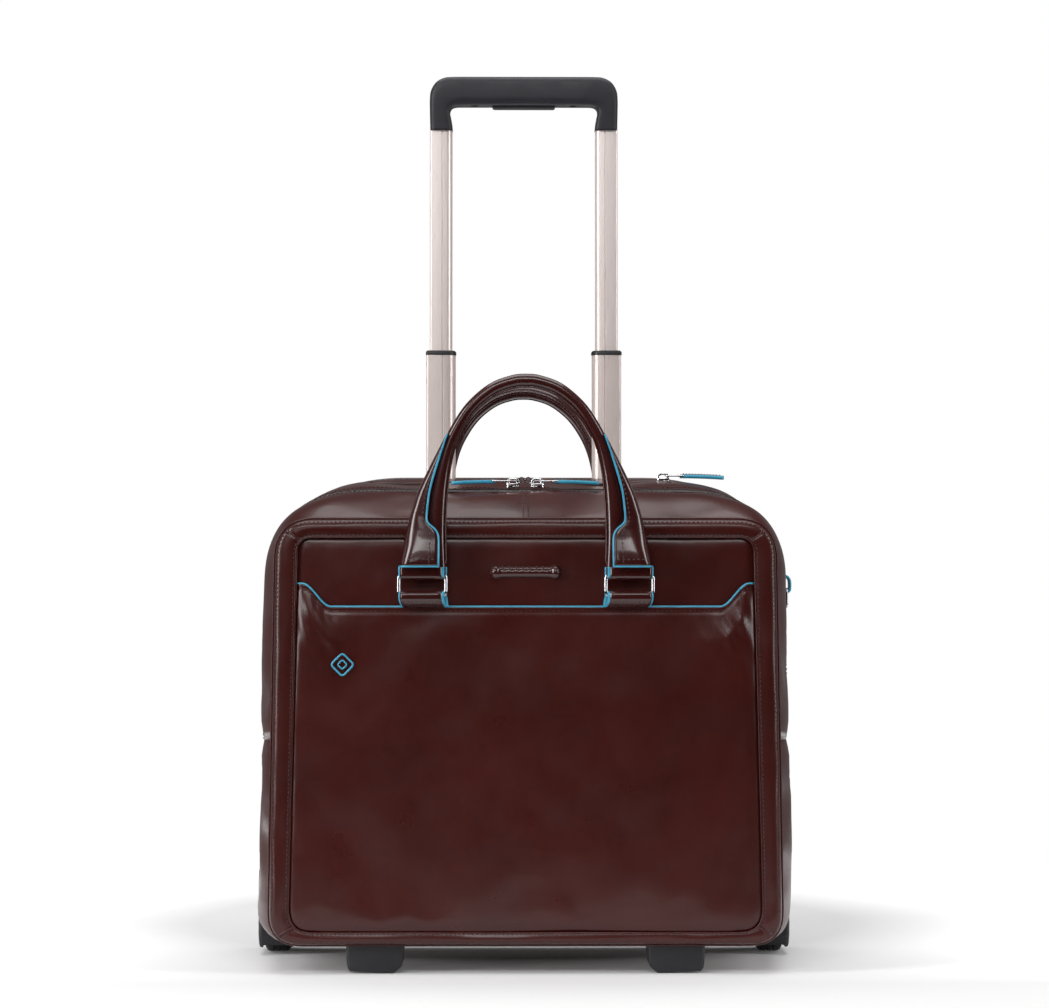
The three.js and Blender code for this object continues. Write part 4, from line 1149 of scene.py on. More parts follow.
def build_handle(name, face):
    """The handle on one side of the case; face is -1 at the front and 1 at the back."""
    lift = 2.8 if face > 0 else 0
    node = name + "_handle"
    y = middle(name + "_ring_left")[1]
    bar_z = low(node)[2] + 4.0
    roll, patch, edges, threads, loops = (Parts() for _ in range(5))

    inner, outer = paired(raised(ROLL_INNER, lift), raised(ROLL_OUTER, lift), 90)
    whole_in = np.vstack([inner, inner[:-1][::-1] * [-1, 1]])
    whole_out = np.vstack([outer, outer[:-1][::-1] * [-1, 1]])
    depth = np.interp(np.arange(90), [0, 12, 30, 89], [3.4, 4.6, 5.1, 5.2])
    depth = np.concatenate([depth, depth[:-1][::-1]])
    rows = ribbon(roll, whole_out, whole_in, depth, 2.1, y, sides=24)
    # The seam of the roll, on the side that faces the case.
    bag_side = 6 if face < 0 else 18
    seam = rows[14:-14, bag_side] + [0, -face * 0.1, 0]
    sweep(roll, resample(seam, 2), [(a * 1.5, b * 0.5) for a, b in circle_section(1, 8)], (0, -face, 0))
    stitch(threads, seam + [0, -face * 0.55, 0], (0, -face, 0), pitch=3.2, length=2.2)
    # A thin flange along the roll's inner edge.
    flange = rows[6:-6, 12] + [0, face * 1.7, 0]
    sweep(roll, resample(flange, 2), circle_section(0.95, 8), (0, 1, 0))

    p_in, p_out = paired(raised(PATCH_INNER, lift), raised(PATCH_OUTER, lift), 60)
    u = np.linspace(0, 1, 12) ** 0.8
    for mirror in (1, -1):
        section = []
        for i, (a, b) in enumerate(zip(p_in, p_out)):
            hd = np.interp(i, [0, 6, 20, 59], [5.3, 6.2, 5.9, 5.5])
            shape = (1 - u ** np.interp(i, [0, 6, 16], [9, 6, 2.6])) ** np.interp(i, [0, 10], [0.4, 0.55])
            line = a + np.outer(u, b - a)
            swell = np.interp(i, [0, 1, 3, 12, 22], [5.6, 6.6, 6.2, 2.6, 0.0])
            # The side that faces the case is flatter, so the handle can hang against it.
            reach = [hd + swell, hd * 0.7] if face < 0 else [hd * 0.7, hd + swell]
            front = np.stack([line[:, 0] * mirror, y - reach[0] * shape, line[:, 1]], axis=1)
            back = np.stack([line[:, 0] * mirror, y + reach[1] * shape, line[:, 1]], axis=1)
            section.append(np.vstack([front, back[:-1][::-1]]))
        patch.grid(section, 0, close_columns=True, caps=True)
        section = np.array(section)
        for side, column in ((-1, 0), (1, -1)):
            line = section[:, column]
            width = np.interp(np.arange(60), [0, 20, 45, 59], [0.7, 0.75, 0.9, 0.6])
            sweep(edges, line + [0, side * 0.1, 0], [(a, b * 0.8) for a, b in circle_section(1, 8)],
                  (0, -1, 0), scale=np.stack([width, width], axis=1))
            low_edge = section[0, :12] if side < 0 else section[0, 11:]
            sweep(edges, resample(low_edge + [0, side * 0.25, 0.1], 1.2), circle_section(0.8, 8), (0, 0, 1))
            normal = (0, side, 0)
            # The threads sink into the leather where the patch can hang against the case.
            proud = 0.12 if side == face else -0.25
            inset = section[2:-7, 2 if side < 0 else -2]
            stitch(threads, inset + [0, side * proud, 0], normal, pitch=3.6, length=2.3, width=1.0)
            row = section[3, 1:9] if side < 0 else section[3, -8:]
            stitch(threads, row + [0, side * proud, 0], normal, pitch=3.6, length=2.3, width=1.0)
        loop = [(y + 2.9, bar_z + 5.7), (y + 3.0, bar_z + 4)] + [
            (a, b) for a, b in bar_wrap(y, bar_z, 2.9, 10, -190)] + [(y - 3.0, bar_z + 4),
                                                                     (y - 2.9, bar_z + 5.7)]
        x0, x1 = sorted((mirror * (HANDLE_X - LOOP_HALF), mirror * (HANDLE_X + LOOP_HALF)))
        strap_loop(loops, loop, x0, x1, 2.2, y, face * mirror * STRAP_TWIST)

    body = name + "_handle"
    replaced = [node]
    finish_piece(roll.make(name + "_handle_roll", [LEATHER_HANDLE]), body, replaced)
    finish_piece(patch.make(name + "_handle_patch", [LEATHER_HANDLE]), body)
    finish_piece(edges.make(name + "_handle_edges", [EDGE_BLUE]), body)
    finish_piece(threads.make(name + "_handle_stitches", [THREAD]), body)
    finish_piece(loops.make(name + "_handle_loops", [LEATHER_HANDLE, EDGE_BLUE]), body)


def build_ring(name, side):
    node = name + "_ring_" + side
    centre, size = middle(node), high(node) - low(node)
    wire = size[1] / 2
    parts = Parts()
    path = ring_path(centre, (1, 0, 0), (0, 0, 1), size[0] / 2 - wire, size[2] / 2 - wire, 3.2, 1.0)
    sweep(parts, path, circle_section(wire, 14), (0, 1, 0), closed=True)
    finish_piece(parts.make(node + "_wire", [STEEL]), name + "_rings", [node])


def build_anchor(name, side, face, body, panel_y):
    """The sewn loop that holds a ring's lower bar: two layers that part towards the panel."""
    node = name + "_anchor_" + side
    ring = name + "_ring_" + side
    y = middle(ring)[1]
    z = low(ring)[2] + (high(ring)[1] - low(ring)[1]) / 2
    x0, x1 = low(node)[0], high(node)[0]
    def at(dy, dz):
        return (y - face * dy, z + dz)
    panel = face * (y - panel_y)
    path = [at(panel - 0.6, -8.6), at(panel - 1.8, -5.5), at(3.9, -2.2)]
    path += [at(2.95 * math.cos(a), 2.95 * math.sin(a)) for a in np.radians(np.linspace(-10, 190, 10))]
    path += [at(-2.7, -2.4), at(-0.6, -5.6), at(panel * 0.55, -8.2)]
    parts = Parts()
    strap_loop(parts, path, x0, x1, 2.1, y, face * dict(SIDES)[side] * STRAP_TWIST)
    finish_piece(parts.make(node + "_strap", [LEATHER_HANDLE, EDGE_BLUE]), body, [node])
    threads = Parts()
    row = [(x, *at(-2.4, -5.2)) for x in np.linspace(x0 + 2, x1 - 2, 20)]
    stitch(threads, np.array(row), (0, face, -0.3), pitch=3.0, length=2.0)
    finish_piece(threads.make(node + "_stitches", [THREAD]), body)


for name, face, body, panel_y in (("front", -1, "front_cover", -97.2), ("back", 1, "case", 94.0)):
    build_handle(name, face)
    for side, _ in SIDES:
        build_ring(name, side)
        build_anchor(name, side, face, body, panel_y)

# ---------------------------------------------------------------- trolley handle


def tube_profile(width, depth, inner_sign, groove=0.55):
    """A rounded rectangle in XY with a groove down its front and back, nearer the middle of the case."""
    half, deep = width / 2, depth / 2
    r_out, r_in = 2.0, min(half * 0.78, deep - 0.6)
    front = []
    for a in np.linspace(180, 270, 5):
        front.append((-half + r_out + r_out * math.cos(math.radians(a)),
                      -deep + r_out + r_out * math.sin(math.radians(a))))
    g = half * 0.12
    front += [(g - 0.8, -deep), (g - 0.45, -deep + groove), (g + 0.25, -deep + groove),
              (g + 0.65, -deep + 0.05)]
    for a in np.linspace(270, 360, 10):
        front.append((half - r_in + r_in * math.cos(math.radians(a)),
                      -deep + 0.2 + r_in + r_in * math.sin(math.radians(a))))
    front = np.array(front)
    back = front[::-1] * [1, -1]
    return np.vstack([front, back]) * [inner_sign, 1]


def build_tube(node, body, material, wall=1.2, groove=0.55):
    sign = 1 if node.endswith("left") else -1
    (x0, y0, z0), (x1, y1, z1) = low(node), high(node)
    z1 = min(z1, low("grip")[2] + 5)
    width, depth = x1 - x0, y1 - y0
    outer = tube_profile(width, depth, sign, groove)
    inner = outer * [(width / 2 - wall) / (width / 2), (depth / 2 - wall) / (depth / 2)]
    centre = np.array([(x0 + x1) / 2, (y0 + y1) / 2])
    levels = np.linspace(z0, z1, 8)
    def skin(flat):
        return np.array([np.column_stack([centre + flat, np.full(len(flat), z)]) for z in levels])
    parts = Parts()
    parts.shell(skin(outer), skin(inner), closed=True, slots=(0, 0, 0))
    piece = sharpen(parts.make(node + "_skin", [material]), 28)
    finish_piece(piece, body, [node])


def round_button(parts, centre, normal, radius, height, oval=1.0, slot=0):
    """A small domed rivet or screw head with a recess in its middle."""
    normal = np.asarray(normal, float)
    up = np.array([0, 0, 1.0]) if abs(normal[2]) < 0.5 else np.array([0, 1.0, 0])
    across = np.cross(normal, up)
    rows = []
    for r, h in ((1.0, -0.3), (1.0, 0.35), (0.9, 0.75), (0.66, 1.0), (0.42, 1.0), (0.36, 0.45), (0.02, 0.4)):
        a = np.linspace(0, 2 * math.pi, 16, endpoint=False)
        rows.append(np.asarray(centre) + normal * height * h
                    + np.outer(np.cos(a) * radius * r, across) + np.outer(np.sin(a) * radius * r * oval, up))
    parts.grid(rows, slot, close_columns=True, caps=True)


def build_trolley():
    for side, sign in SIDES:
        build_tube("inner_tube_" + side, "upper_stage", TUBE_UPPER, 1.1)
        build_tube("middle_tube_" + side, "middle_stage", TUBE_LOWER, 1.3)
        build_tube("fixed_tube_" + side, "case", TUBE_LOWER, 1.4)
        middle_tube = "middle_tube_" + side
        rivets = Parts()
        x = low(middle_tube)[0] if sign < 0 else high(middle_tube)[0]
        for z in (480.5, 466.9):
            round_button(rivets, (x, middle(middle_tube)[1] - 1, z), (sign, 0, 0), 2.6, 0.22, oval=1.15)
        finish_piece(rivets.make("rivets_" + side, [DARK_STEEL]), "middle_stage")

        node = "collar_" + side
        (x0, y0, z0), (x1, y1, z1) = low(node), high(node)
        centre = (low(node) + high(node)) / 2
        outer = tube_profile(x1 - x0, y1 - y0, -sign, 0.0)
        hole_size = high("inner_tube_" + side) - low("inner_tube_" + side) + 0.6
        hole = tube_profile(hole_size[0], hole_size[1], -sign, 0.0)
        rows_out, rows_in = [], []
        for z, shrink in ((z0, 1.0), (z0 + 0.3, 1.0), (z0 + 1.9, 1.0), (z0 + 2.6, 0.975), (z1, 0.9)):
            rows_out.append(np.column_stack([centre[:2] + outer * shrink, np.full(len(outer), z)]))
            rows_in.append(np.column_stack([centre[:2] + hole, np.full(len(hole), z)]))
        parts = Parts()
        parts.shell(np.array(rows_out), np.array(rows_in), closed=True, slots=(0, 0, 0))
        finish_piece(sharpen(parts.make(node + "_cap", [BLACK]), 35), "middle_stage", [node])

    (x0, y0, z0), (x1, y1, z1) = low("grip"), high("grip")
    y, deep = (y0 + y1) / 2, (y1 - y0) / 2
    under = 693.6
    outer = [(x1 - 0.4, z0), (x1 - 0.2, z0 + 8), (x1, z0 + 18), (x1, z1 - 19), (x1 - 0.9, z1 - 11.5),
             (x1 - 5, z1 - 4.6),
             (x1 - 11.5, z1 - 0.9), (x1 - 19, z1 - 0.1), (x1 - 38, z1), (0, z1)]
    inner = [(58.4, z0), (58.9, z0 + 5), (60.0, z0 + 11), (60.6, under - 6.2), (60.1, under - 3.1),
             (58.2, under - 0.9),
             (55.0, under - 0.1), (51, under), (39, under), (0, under + 0.2)]
    inner, outer = paired(inner, outer, 70)
    whole_in = np.vstack([inner, inner[:-1][::-1] * [-1, 1]])
    whole_out = np.vstack([outer, outer[:-1][::-1] * [-1, 1]])
    depth = np.interp(np.arange(70), [0, 4, 20, 32, 69], [deep * 0.72, deep * 0.75, deep * 0.92, deep, deep])
    depth = np.concatenate([depth, depth[:-1][::-1]])
    parts = Parts()
    ribbon(parts, whole_out, whole_in, depth, 4.2, y, sides=40)
    finish_piece(parts.make("grip_shell", [GRIP]), "upper_stage", ["grip"])
    screws = Parts()
    for x in (-40.5, 40.5):
        round_button(screws, (x, y - 4, under + 0.3), (0, 0, -1), 3.4, 1.1, oval=0.6)
    finish_piece(screws.make("grip_screws", [BLACK]), "upper_stage")


build_trolley()

# ---------------------------------------------------------------- name bar, mark, side tab


def build_name_bar():
    (x0, y0, z0), (x1, y1, z1) = low("name_bar"), high("name_bar")
    cx, cz = (x0 + x1) / 2, (z0 + z1) / 2
    half, tall = (x1 - x0) / 2 + 0.6, (z1 - z0) / 2 + 0.9
    rows = []
    for u in np.linspace(-1, 1, 90):
        x = cx + half * math.sin(u * math.pi / 2)
        s = (x - cx) / half
        end = math.sqrt(max(0.0, 1 - max(0.0, (abs(s) - 0.82) / 0.18) ** 2))
        bulb = 1 - 0.12 * math.exp(-((abs(s) - 0.72) / 0.08) ** 2)
        full_end = min(1.0, max(0.0, (abs(s) - 0.66) / 0.12))
        row = []
        for v in np.linspace(-1, 1, 15):
            puff = (1 - abs(v) ** 2) ** 0.5 * end * bulb
            nip = 0.7 * math.exp(-((v - 0.45) / 0.22) ** 2) * max(0.0, math.cos(x * 2 * math.pi / 5.2)) ** 4
            nip *= abs(s) < 0.7
            row.append((x, y1 + 0.4 - (y1 - y0 + 3.4) * puff * (0.86 + 0.2 * full_end) + nip,
                        cz + tall * v * max(0.02, end) * (0.84 + 0.2 * full_end)))
        rows.append(row)
    rows = np.array(rows)
    back = rows.copy()
    back[:, :, 1] = y1 + 0.6
    parts = Parts()
    parts.shell(rows, back, slots=(0, 0, 0))
    finish_piece(parts.make("name_bar_pad", [LEATHER_HANDLE]), "front_cover", ["name_bar"])
    threads = Parts()
    for x in np.arange(cx - half * 0.62, cx + half * 0.63, 5.2):
        path = [(x - 0.2, y0 - 0.6, cz + 3.6), (x + 0.2, y0 - 1.5, cz + 2.0)]
        stitch(threads, np.array(path), (0, -1, 0.4), pitch=2.4, length=2.6, width=0.9)
    finish_piece(threads.make("name_bar_stitches", [THREAD]), "front_cover")


def build_mark():
    """A small plain diamond in blue, sewn on the pocket where a badge would be."""
    parts = Parts()
    cx, cz, y = -141.0, 238.0, POCKET_Y - 0.9
    for size, wire in ((8.2, 0.75), (3.4, 0.6)):
        path = ring_path((cx, y, cz), np.array([1, 0, 1]) / math.sqrt(2), np.array([-1, 0, 1]) / math.sqrt(2),
                         size * 0.78, size * 0.78, size * 0.3, 0.8)
        sweep(parts, path, circle_section(wire, 8), (0, 1, 0), closed=True)
    finish_piece(parts.make("pocket_mark", [EDGE_BLUE]), "front_cover")


def build_side_tab():
    (x0, y0, _), (_, y1, z1) = low("side_loop"), high("side_loop")
    ring = middle("side_ring")
    bar_x, bar_z = x0 + 3.2, high("side_ring")[2] - 0.9
    wrap = [(bar_x + 2.6 * math.cos(a), bar_z + 2.6 * math.sin(a))
            for a in np.radians(np.linspace(-10, -170, 9))]
    path = [(x0 + 0.4, z1 - 0.5), (x0 + 3.2, z1 - 1.0), (x0 + 5.4, z1 - 3.5), (x0 + 5.9, z1 - 7)] + wrap
    path += [(x0 + 0.6, bar_z + 3.5), (x0 + 0.7, z1 - 4.5)]
    path = smooth_path([(0, x, z) for x, z in path], 0.7)
    n = np.cross(tangents(path), (1, 0, 0))
    across = np.linspace(y0, y1, 9)
    def skin(off):
        return np.array([[(p[1] + m[1] * off, y, p[2] + m[2] * off) for y in across] for p,
                         m in zip(path, n)])
    parts = Parts()
    outer, inner = skin(0.8), skin(-0.8)
    parts.shell(outer, inner, slots=(0, 0, 1))
    for column in (0, -1):
        sweep(parts, (outer[:, column] + inner[:, column]) / 2, circle_section(0.95, 8), (0, 1, 0), slot=1)
    finish_piece(parts.make("side_tab", [LEATHER_HANDLE, EDGE_BLUE]), "case", ["side_loop"])
    threads = Parts()
    row = [(x0 + 4.0, y, z1 - 2.2) for y in np.linspace(y0 + 1.5, y1 - 1.5, 8)]
    stitch(threads, np.array(row), (1, 0, 0), pitch=2.6, length=1.8)
    finish_piece(threads.make("side_tab_stitches", [THREAD]), "case")
    size = high("side_ring") - low("side_ring")
    wire = size[0] / 2
    path = ring_path(ring, (0, 1, 0), (0, 0, 1), size[1] / 2 - wire, size[2] / 2 - wire, 2.6, 0.8)
    parts = Parts()
    sweep(parts, path, circle_section(wire, 12), (1, 0, 0), closed=True)
    finish_piece(parts.make("side_ring_wire", [STEEL]), "side_ring", ["side_ring"])


build_name_bar()
build_mark()
build_side_tab()

# ---------------------------------------------------------------- seams of the gussets


def build_seams():
    front, back = gusset_front_rows, gusset_back_rows
    upper = slice(SEAM_INDEX + 1, LEFT_SEAM_INDEX)
    for name, rows, row, body in (("front_zip", front, -3, "cover_fold"), ("rear_zip", back, 2, "case"),
                                  ("front_rim", front, 1, "cover_fold"), ("back_rim", back, -2, "case")):
        threads = Parts()
        n = normals_of(rows, closed=True)
        n = n if n[0, SEAM_INDEX] @ [1, 0, 0] > 0 else -n
        line, lift = rows[row, upper], n[row, upper]
        stitch(threads, line + lift * 0.1, lift)
        finish_piece(threads.make("stitches_" + name, [THREAD]), body)

    # A double seam down the middle of the top's front, and the cross seams where the zip ends.
    threads = Parts()
    run = front[1:-1, HALF_COUNT]
    for side in (-2.0, 2.0):
        stitch(threads, run + [side, 0, 0.15], (0, -0.4, 0.9), pitch=3.0, length=2.0)
    finish_piece(threads.make("stitches_top_middle", [THREAD]), "cover_fold")
    for side, column in (("right", SEAM_INDEX), ("left", LEFT_SEAM_INDEX)):
        sign = 1 if side == "right" else -1
        for part, rows in (("front", front), ("rear", back)):
            threads = Parts()
            run = rows[:, column]
            for lift in (-2.6, 2.6):
                stitch(threads, run + [sign * 0.1, 0, lift], (sign, 0, 0), pitch=3.2, length=2.1)
            body = "cover_fold" if part == "front" else "case"
            finish_piece(threads.make("stitches_seam_" + part + "_" + side, [THREAD]), body)
        stop = Parts()
        x = sign * (abs(ZIP_LINE[0, 0]) + 0.3)
        path = ring_path((x, ZIP_Y, SEAM_Z + 3), (0, 1, 0), (0, 0, 1), 3.6, 2.2, 1.0, 0.8)
        sweep(stop, path, circle_section(0.9, 8), (1, 0, 0), closed=True)
        finish_piece(stop.make("zip_stop_" + side, [STEEL]), "case")


build_seams()

# ---------------------------------------------------------------- back, underside and rolling gear


CHANNELS = (130.0, 250.0)


def laid_on(line, rows, lift):
    """A line moved in Y onto the nearest points of a surface, and off it by a little."""
    flat = rows.reshape(-1, 3)
    out = np.array(line, float)
    for p in out:
        near = int(np.argmin((flat[:, 0] - p[0]) ** 2 + (flat[:, 2] - p[2]) ** 2))
        p[1] = flat[near, 1] + lift
    return out


def build_back():
    """The back: one leather panel with a welt, a stitched edge and two stitched channels."""
    b, t, top, rb, rt = STATIONS[-1, 1:]
    room_x = low("wheel_housing_right")[0] - 0.3

    def half_at(z):
        side = b - (b - t) * (z - BASE_Z) / (top - BASE_Z)
        if z < BASE_Z + rb:
            u = math.sqrt(max(0.0, z - BASE_Z) / rb)
            side = b - rb * (1 - u) ** 2
        if z > top - rt:
            u = math.sqrt(max(0.0, top - z) / rt)
            side = t - rt * (1 - u) ** 2
        return min(side, room_x) if z < ROOM_TOP - 0.01 else side

    levels = np.concatenate([np.linspace(BASE_Z + 0.3, ROOM_TOP - 0.02, 12),
                             np.linspace(ROOM_TOP, top - rt, 76),
                             top - rt * np.linspace(1, 0.0, 26)[1:] ** 2 - 0.4])
    y0, y1 = low("back_panel")[1], high("back_panel")[1]
    rows = []
    for z in levels:
        half = half_at(z) - 0.6
        row = []
        for u in eased(-1, 1, 90):
            x = u * half
            gap = min(half - abs(x), top - z, z - BASE_Z)
            corner = math.hypot(max(0.0, abs(x) - (t - rt)), max(0.0, z - (top - rt)))
            gap = min(gap, max(0.0, rt * 1.02 - corner)) if z > top - rt and abs(x) > t - rt else gap
            row.append((x, y0 + 0.2 + (y1 - y0) * rise(gap + 0.4, 8), z))
        rows.append(row)
    rows = np.array(rows)
    inside = np.clip((rows[:, :, 1] - y0) / (y1 - y0), 0, 1) ** 3
    rows[:, :, 1] += (wobble(rows, 75, 1.6, 21.0) + wobble(rows, 28, 0.35, 22.0)) * inside
    for level in CHANNELS:
        rows[:, :, 1] -= 0.9 * np.exp(-((rows[:, :, 2] - level) / 2.6) ** 2)
    parts = Parts()
    back = rows.copy()
    back[:, :, 1] = y0
    parts.shell(rows, back, slots=(0, 0, 0))
    finish_piece(parts.make("back_leather", [LEATHER_BODY]), "case", ["back_panel"])

    welt = Parts()
    loop = loop_at(BACK_Y, -0.2)
    upper = loop[ROOM_INDEX:LOOP_COUNT - ROOM_INDEX + 1]
    sweep(welt, resample(upper + [0, 1.6, 0], 3), circle_section(1.7, 10), (0, 1, 0))
    finish_piece(welt.make("back_welt", [LEATHER_HANDLE]), "case")
    threads = Parts()
    inner = loop_at(BACK_Y, 6.5)[ROOM_INDEX:LOOP_COUNT - ROOM_INDEX + 1] + [0, y1 - BACK_Y + 0.3, 0]
    stitch(threads, laid_on(inner, rows, 0.1), (0, 1, 0))
    for level in CHANNELS:
        for off in (-3.4, 3.4):
            line = [(x, y1, level + off) for x in np.linspace(-half_at(level) + 9, half_at(level) - 9, 120)]
            stitch(threads, laid_on(line, rows, 0.1), (0, 1, 0))
    finish_piece(threads.make("back_stitches", [THREAD]), "case")


def build_foot(side, sign):
    """A moulded foot whose inner lower edge is cut away at a slant."""
    node = "foot_" + side
    (x0, y0, z0), (x1, y1, z1) = low(node), high(node)
    cx, half = (x0 + x1) / 2, (x1 - x0) / 2
    shape = [(1.0, 1.0), (0.985, 0.55), (0.965, 0.3), (0.93, 0.14), (0.84, 0.07), (0.3, 0.03), (-0.3, 0.0),
             (-0.62, 0.0), (-0.72, 0.06), (-0.9, 0.24), (-0.95, 0.4), (-0.985, 1.0)]
    outline = resample([(cx + sign * u * half, 0, z0 + (z1 - z0) * v) for u, v in shape], 1.6)
    centre = outline.mean(axis=0)
    rows = []
    for y in eased(y0, y1, 22):
        t = min(y - y0, y1 - y)
        inset = 3.0 * (1 - math.sqrt(1 - (1 - min(1, t / 3.0)) ** 2))
        shrink = 1 - inset / half
        row = centre + (outline - centre) * [shrink, 1, 1 - inset / (z1 - z0)]
        row[:, 1] = y
        row[:, 2] = np.where(outline[:, 2] > z1 - 2, outline[:, 2], np.maximum(row[:, 2], z0))
        rows.append(row)
    parts = Parts()
    parts.grid(rows, close_columns=True, caps=True)
    piece = sharpen(parts.make(node + "_block", [BLACK]), 50)
    finish_piece(piece, "case", [node])
    screws = Parts()
    for y in (y0 + 9, y1 - 9):
        round_button(screws, (cx, y, z0 + 0.9), (0, 0, -1), 3.2, 0.5)
    finish_piece(screws.make(node + "_screws", [DARK_STEEL]), "case")


def build_wheel(side):
    """A tyre with two grooves round its tread, turned about the axle."""
    node = "tyre_" + side
    (x0, _, z0), (x1, _, z1) = low(node), high(node)
    cx, cy, cz = middle(node)
    r, half = (z1 - z0) / 2, (x1 - x0) / 2
    bore = (high("hub_" + side)[2] - low("hub_" + side)[2]) / 2 + 0.3
    profile = [(-0.86, bore), (-0.95, bore + 2), (-1.0, r - 5), (-0.97, r - 2.2), (-0.84, r - 0.6), (-0.7, r),
               (-0.32, r), (-0.27, r - 1.0), (-0.2, r - 1.0), (-0.15, r), (0.15, r), (0.2, r - 1.0),
               (0.27, r - 1.0),
               (0.32, r), (0.7, r), (0.84, r - 0.6), (0.97, r - 2.2), (1.0, r - 5), (0.95, bore + 2),
               (0.86, bore)]
    rows = []
    for a in np.linspace(0, 2 * math.pi, 72, endpoint=False):
        rows.append([(cx + u * half, cy + d * math.cos(a), cz + d * math.sin(a)) for u, d in profile])
    parts = Parts()
    parts.grid(rows, close_rows=True, close_columns=True)
    finish_piece(sharpen(parts.make(node + "_tread", [RUBBER]), 40), "wheel_" + side, [node])


CAP_RADIUS = 17.5
CAP_THICK = 0.9
CAP_LIFT = 4  # how far above the axle the cap is centred


def build_housing(side, sign):
    """The axle's cap and the screws on the outer face of a wheel housing."""
    node = "wheel_housing_" + side
    cap = Parts()
    outer = (high(node) if sign > 0 else low(node))[0]
    y, z = middle("axle_" + side)[1:]
    a = np.linspace(0, 2 * math.pi, 48, endpoint=False)
    rows = []
    for h, k in ((0.0, 1.0), (CAP_THICK * 0.6, 1.0), (CAP_THICK, 0.94), (CAP_THICK, 0.82),
                 (CAP_THICK * 0.4, 0.76), (CAP_THICK * 0.4, 0.3)):
        rows.append(np.stack([np.full_like(a, outer + sign * (h - 0.2)), y + CAP_RADIUS * k * np.cos(a),
                              z + CAP_LIFT + CAP_RADIUS * k * np.sin(a)], axis=1))
    cap.grid(rows, close_columns=True, caps=True)
    finish_piece(sharpen(cap.make(node + "_cap", [BLACK]), 40), "case")
    screws = Parts()
    for dy, dz in ((-24, 26), (16, 26), (-26, -4)):
        round_button(screws, (outer, y + dy, z + dz), (sign, 0, 0), 3.0, 0.7)
    round_button(screws, (outer + sign * 0.2, y, z + CAP_LIFT), (sign, 0, 0), 4.6, 1.0)
    finish_piece(screws.make(node + "_screws", [DARK_STEEL]), "case")


def build_bezel():
    (x0, y0, _), (x1, _, z1) = low("top_bezel"), high("top_bezel")
    screws = Parts()
    for x in (x0 + 7, -28, 28, x1 - 7):
        round_button(screws, (x, y0 + 6, z1), (0, 0, 1), 2.7, 0.5)
    finish_piece(screws.make("bezel_screws", [DARK_STEEL]), "case")


build_back()
build_bezel()
for side, sign in SIDES:
    build_foot(side, sign)
    build_wheel(side)
    build_housing(side, sign)

# CAD parts that keep their shape take a finish.
FINISHES = {
    BLACK: ["top_bezel", "hub_left", "hub_right", "wheel_housing_left", "wheel_housing_right"],
    GRIP: ["release_button"],
    STEEL: ["axle_left", "axle_right", "release_rod_left", "release_rod_right", "lock_pin_left",
            "lock_pin_right"],
    BOARD: ["base_board", "inner_back_board"],
    LINING: ["laptop_divider"],
}
for material, names in FINISHES.items():
    for name in names:
        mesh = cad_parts[name].data
        mesh.materials.clear()
        mesh.materials.append(material)

# ---------------------------------------------------------------- camera, light and floor


FLOOR_RADIUS = 0.8
FLOOR_CENTRE = (0, 0.3, 0)


def add_camera():
    data = bpy.data.cameras.new("camera")
    data.lens = 111.4
    camera = bpy.data.objects.new("camera", data)
    camera.location = (-0.025, -2.595, 0.300)
    camera.rotation_euler = (math.radians(90 + 1.41), 0, math.radians(-0.55))
    bpy.context.scene.collection.objects.link(camera)
    bpy.context.scene.camera = camera


def add_light(name, place, aim, size, power):
    data = bpy.data.lights.new(name, "AREA")
    data.shape = "RECTANGLE"
    data.size, data.size_y = size
    data.energy = power
    light = bpy.data.objects.new(name, data)
    light.location = place
    light.rotation_euler = (Vector(aim) - Vector(place)).to_track_quat("-Z", "Y").to_euler()
    bpy.context.scene.collection.objects.link(light)


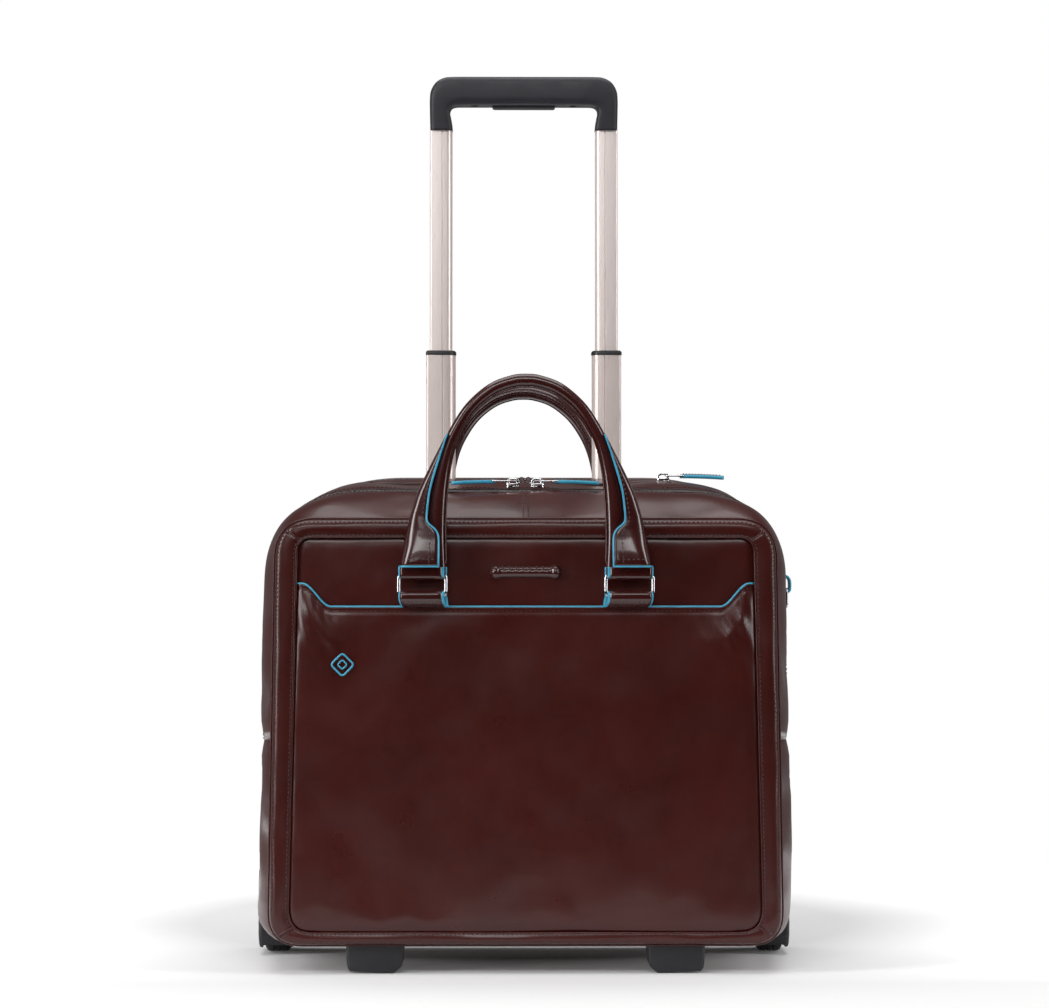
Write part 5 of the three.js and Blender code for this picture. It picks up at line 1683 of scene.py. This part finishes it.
def world_light(world):
    """White behind everything; the light itself is dim from the front and bright from above and behind."""
    tree = world.node_tree
    background = tree.nodes["Background"]
    place = tree.nodes.new("ShaderNodeTexCoord")
    split = tree.nodes.new("ShaderNodeSeparateXYZ")
    tree.links.new(place.outputs["Generated"], split.inputs[0])

    def step(axis, start, end, low_level, high_level):
        ramp = tree.nodes.new("ShaderNodeMapRange")
        ramp.interpolation_type = "SMOOTHSTEP"
        for key, value in (("From Min", start), ("From Max", end), ("To Min", low_level),
                           ("To Max", high_level)):
            ramp.inputs[key].default_value = value
        tree.links.new(split.outputs[axis], ramp.inputs["Value"])
        return ramp.outputs["Result"]

    def combine(operation, a, b):
        node = tree.nodes.new("ShaderNodeMath")
        node.operation = operation
        tree.links.new(a, node.inputs[0])
        tree.links.new(b, node.inputs[1])
        return node.outputs[0]

    behind = combine("MULTIPLY", step("Y", -0.5, 0.7, 0, 0.24), step("Z", 0.1, 0.6, 1, 0.2))
    total = combine("ADD", behind, step("Z", 0.3, 1.0, 0, 0.14))
    seen = tree.nodes.new("ShaderNodeLightPath")
    pick = tree.nodes.new("ShaderNodeMix")
    tree.links.new(seen.outputs["Is Camera Ray"], pick.inputs[0])
    tree.links.new(total, pick.inputs[2])
    pick.inputs[3].default_value = 1.0
    tree.links.new(pick.outputs[0], background.inputs["Strength"])
    background.inputs["Color"].default_value = (1, 1, 1, 1)


def add_studio():
    world = bpy.data.worlds.new("studio")
    world.use_nodes = True
    world_light(world)
    bpy.context.scene.world = world
    add_light("left_softbox", (-1.7, -0.9, 0.9), (0, 0, 0.3), (0.5, 1.7), 27)
    add_light("right_softbox", (1.8, -0.7, 0.9), (0, 0, 0.3), (0.4, 1.7), 16)
    add_light("front_softbox", (-0.25, -2.3, 1.75), (0, 0, 0.2), (2.1, 0.45), 21)
    add_light("front_card", (-0.9, -3.0, 1.05), (0, 0, 0.3), (1.2, 0.4), 4)
    add_light("top_softbox", (0, 0.1, 2.2), (0, 0.1, 0), (2.2, 1.5), 30)

    # A plain pale floor that turns white towards its edge, so no horizon shows from any side.
    m = Nodes("studio_floor")
    away = m.node("ShaderNodeVectorMath", _operation="LENGTH")
    m.put(away.inputs[0], m.place)
    split = m.node("ShaderNodeSeparateXYZ")
    m.put(split.inputs[0], m.place)
    wide = m.ramp(away.outputs["Value"], FLOOR_RADIUS * 0.36, FLOOR_RADIUS * 0.8, 0, 1)
    wide = m.math("MULTIPLY", wide, m.ramp(split.outputs["Y"], -0.45, -0.15, 0, 1))
    rim = m.ramp(away.outputs["Value"], FLOOR_RADIUS * 0.88, FLOOR_RADIUS * 0.99, 0, 1)
    glow = m.math("MAXIMUM", wide, rim)
    m.set(Base__Color=(0.92, 0.92, 0.92, 1), Roughness=0.75, Emission__Color=(1, 1, 1, 1),
          Emission__Strength=glow)
    floor = Parts()
    turns = np.linspace(0, 2 * math.pi, 96, endpoint=False)
    rows = [np.stack([r * np.cos(turns), r * np.sin(turns), 0 * turns], axis=1) / MM
            for r in np.linspace(0.0005, 1, 24) * FLOOR_RADIUS]
    floor.grid(rows, close_columns=True)
    floor = floor.make("floor", [m.material])
    floor.location = FLOOR_CENTRE
    bpy.context.scene.view_settings.view_transform = "Standard"


add_camera()
add_studio()
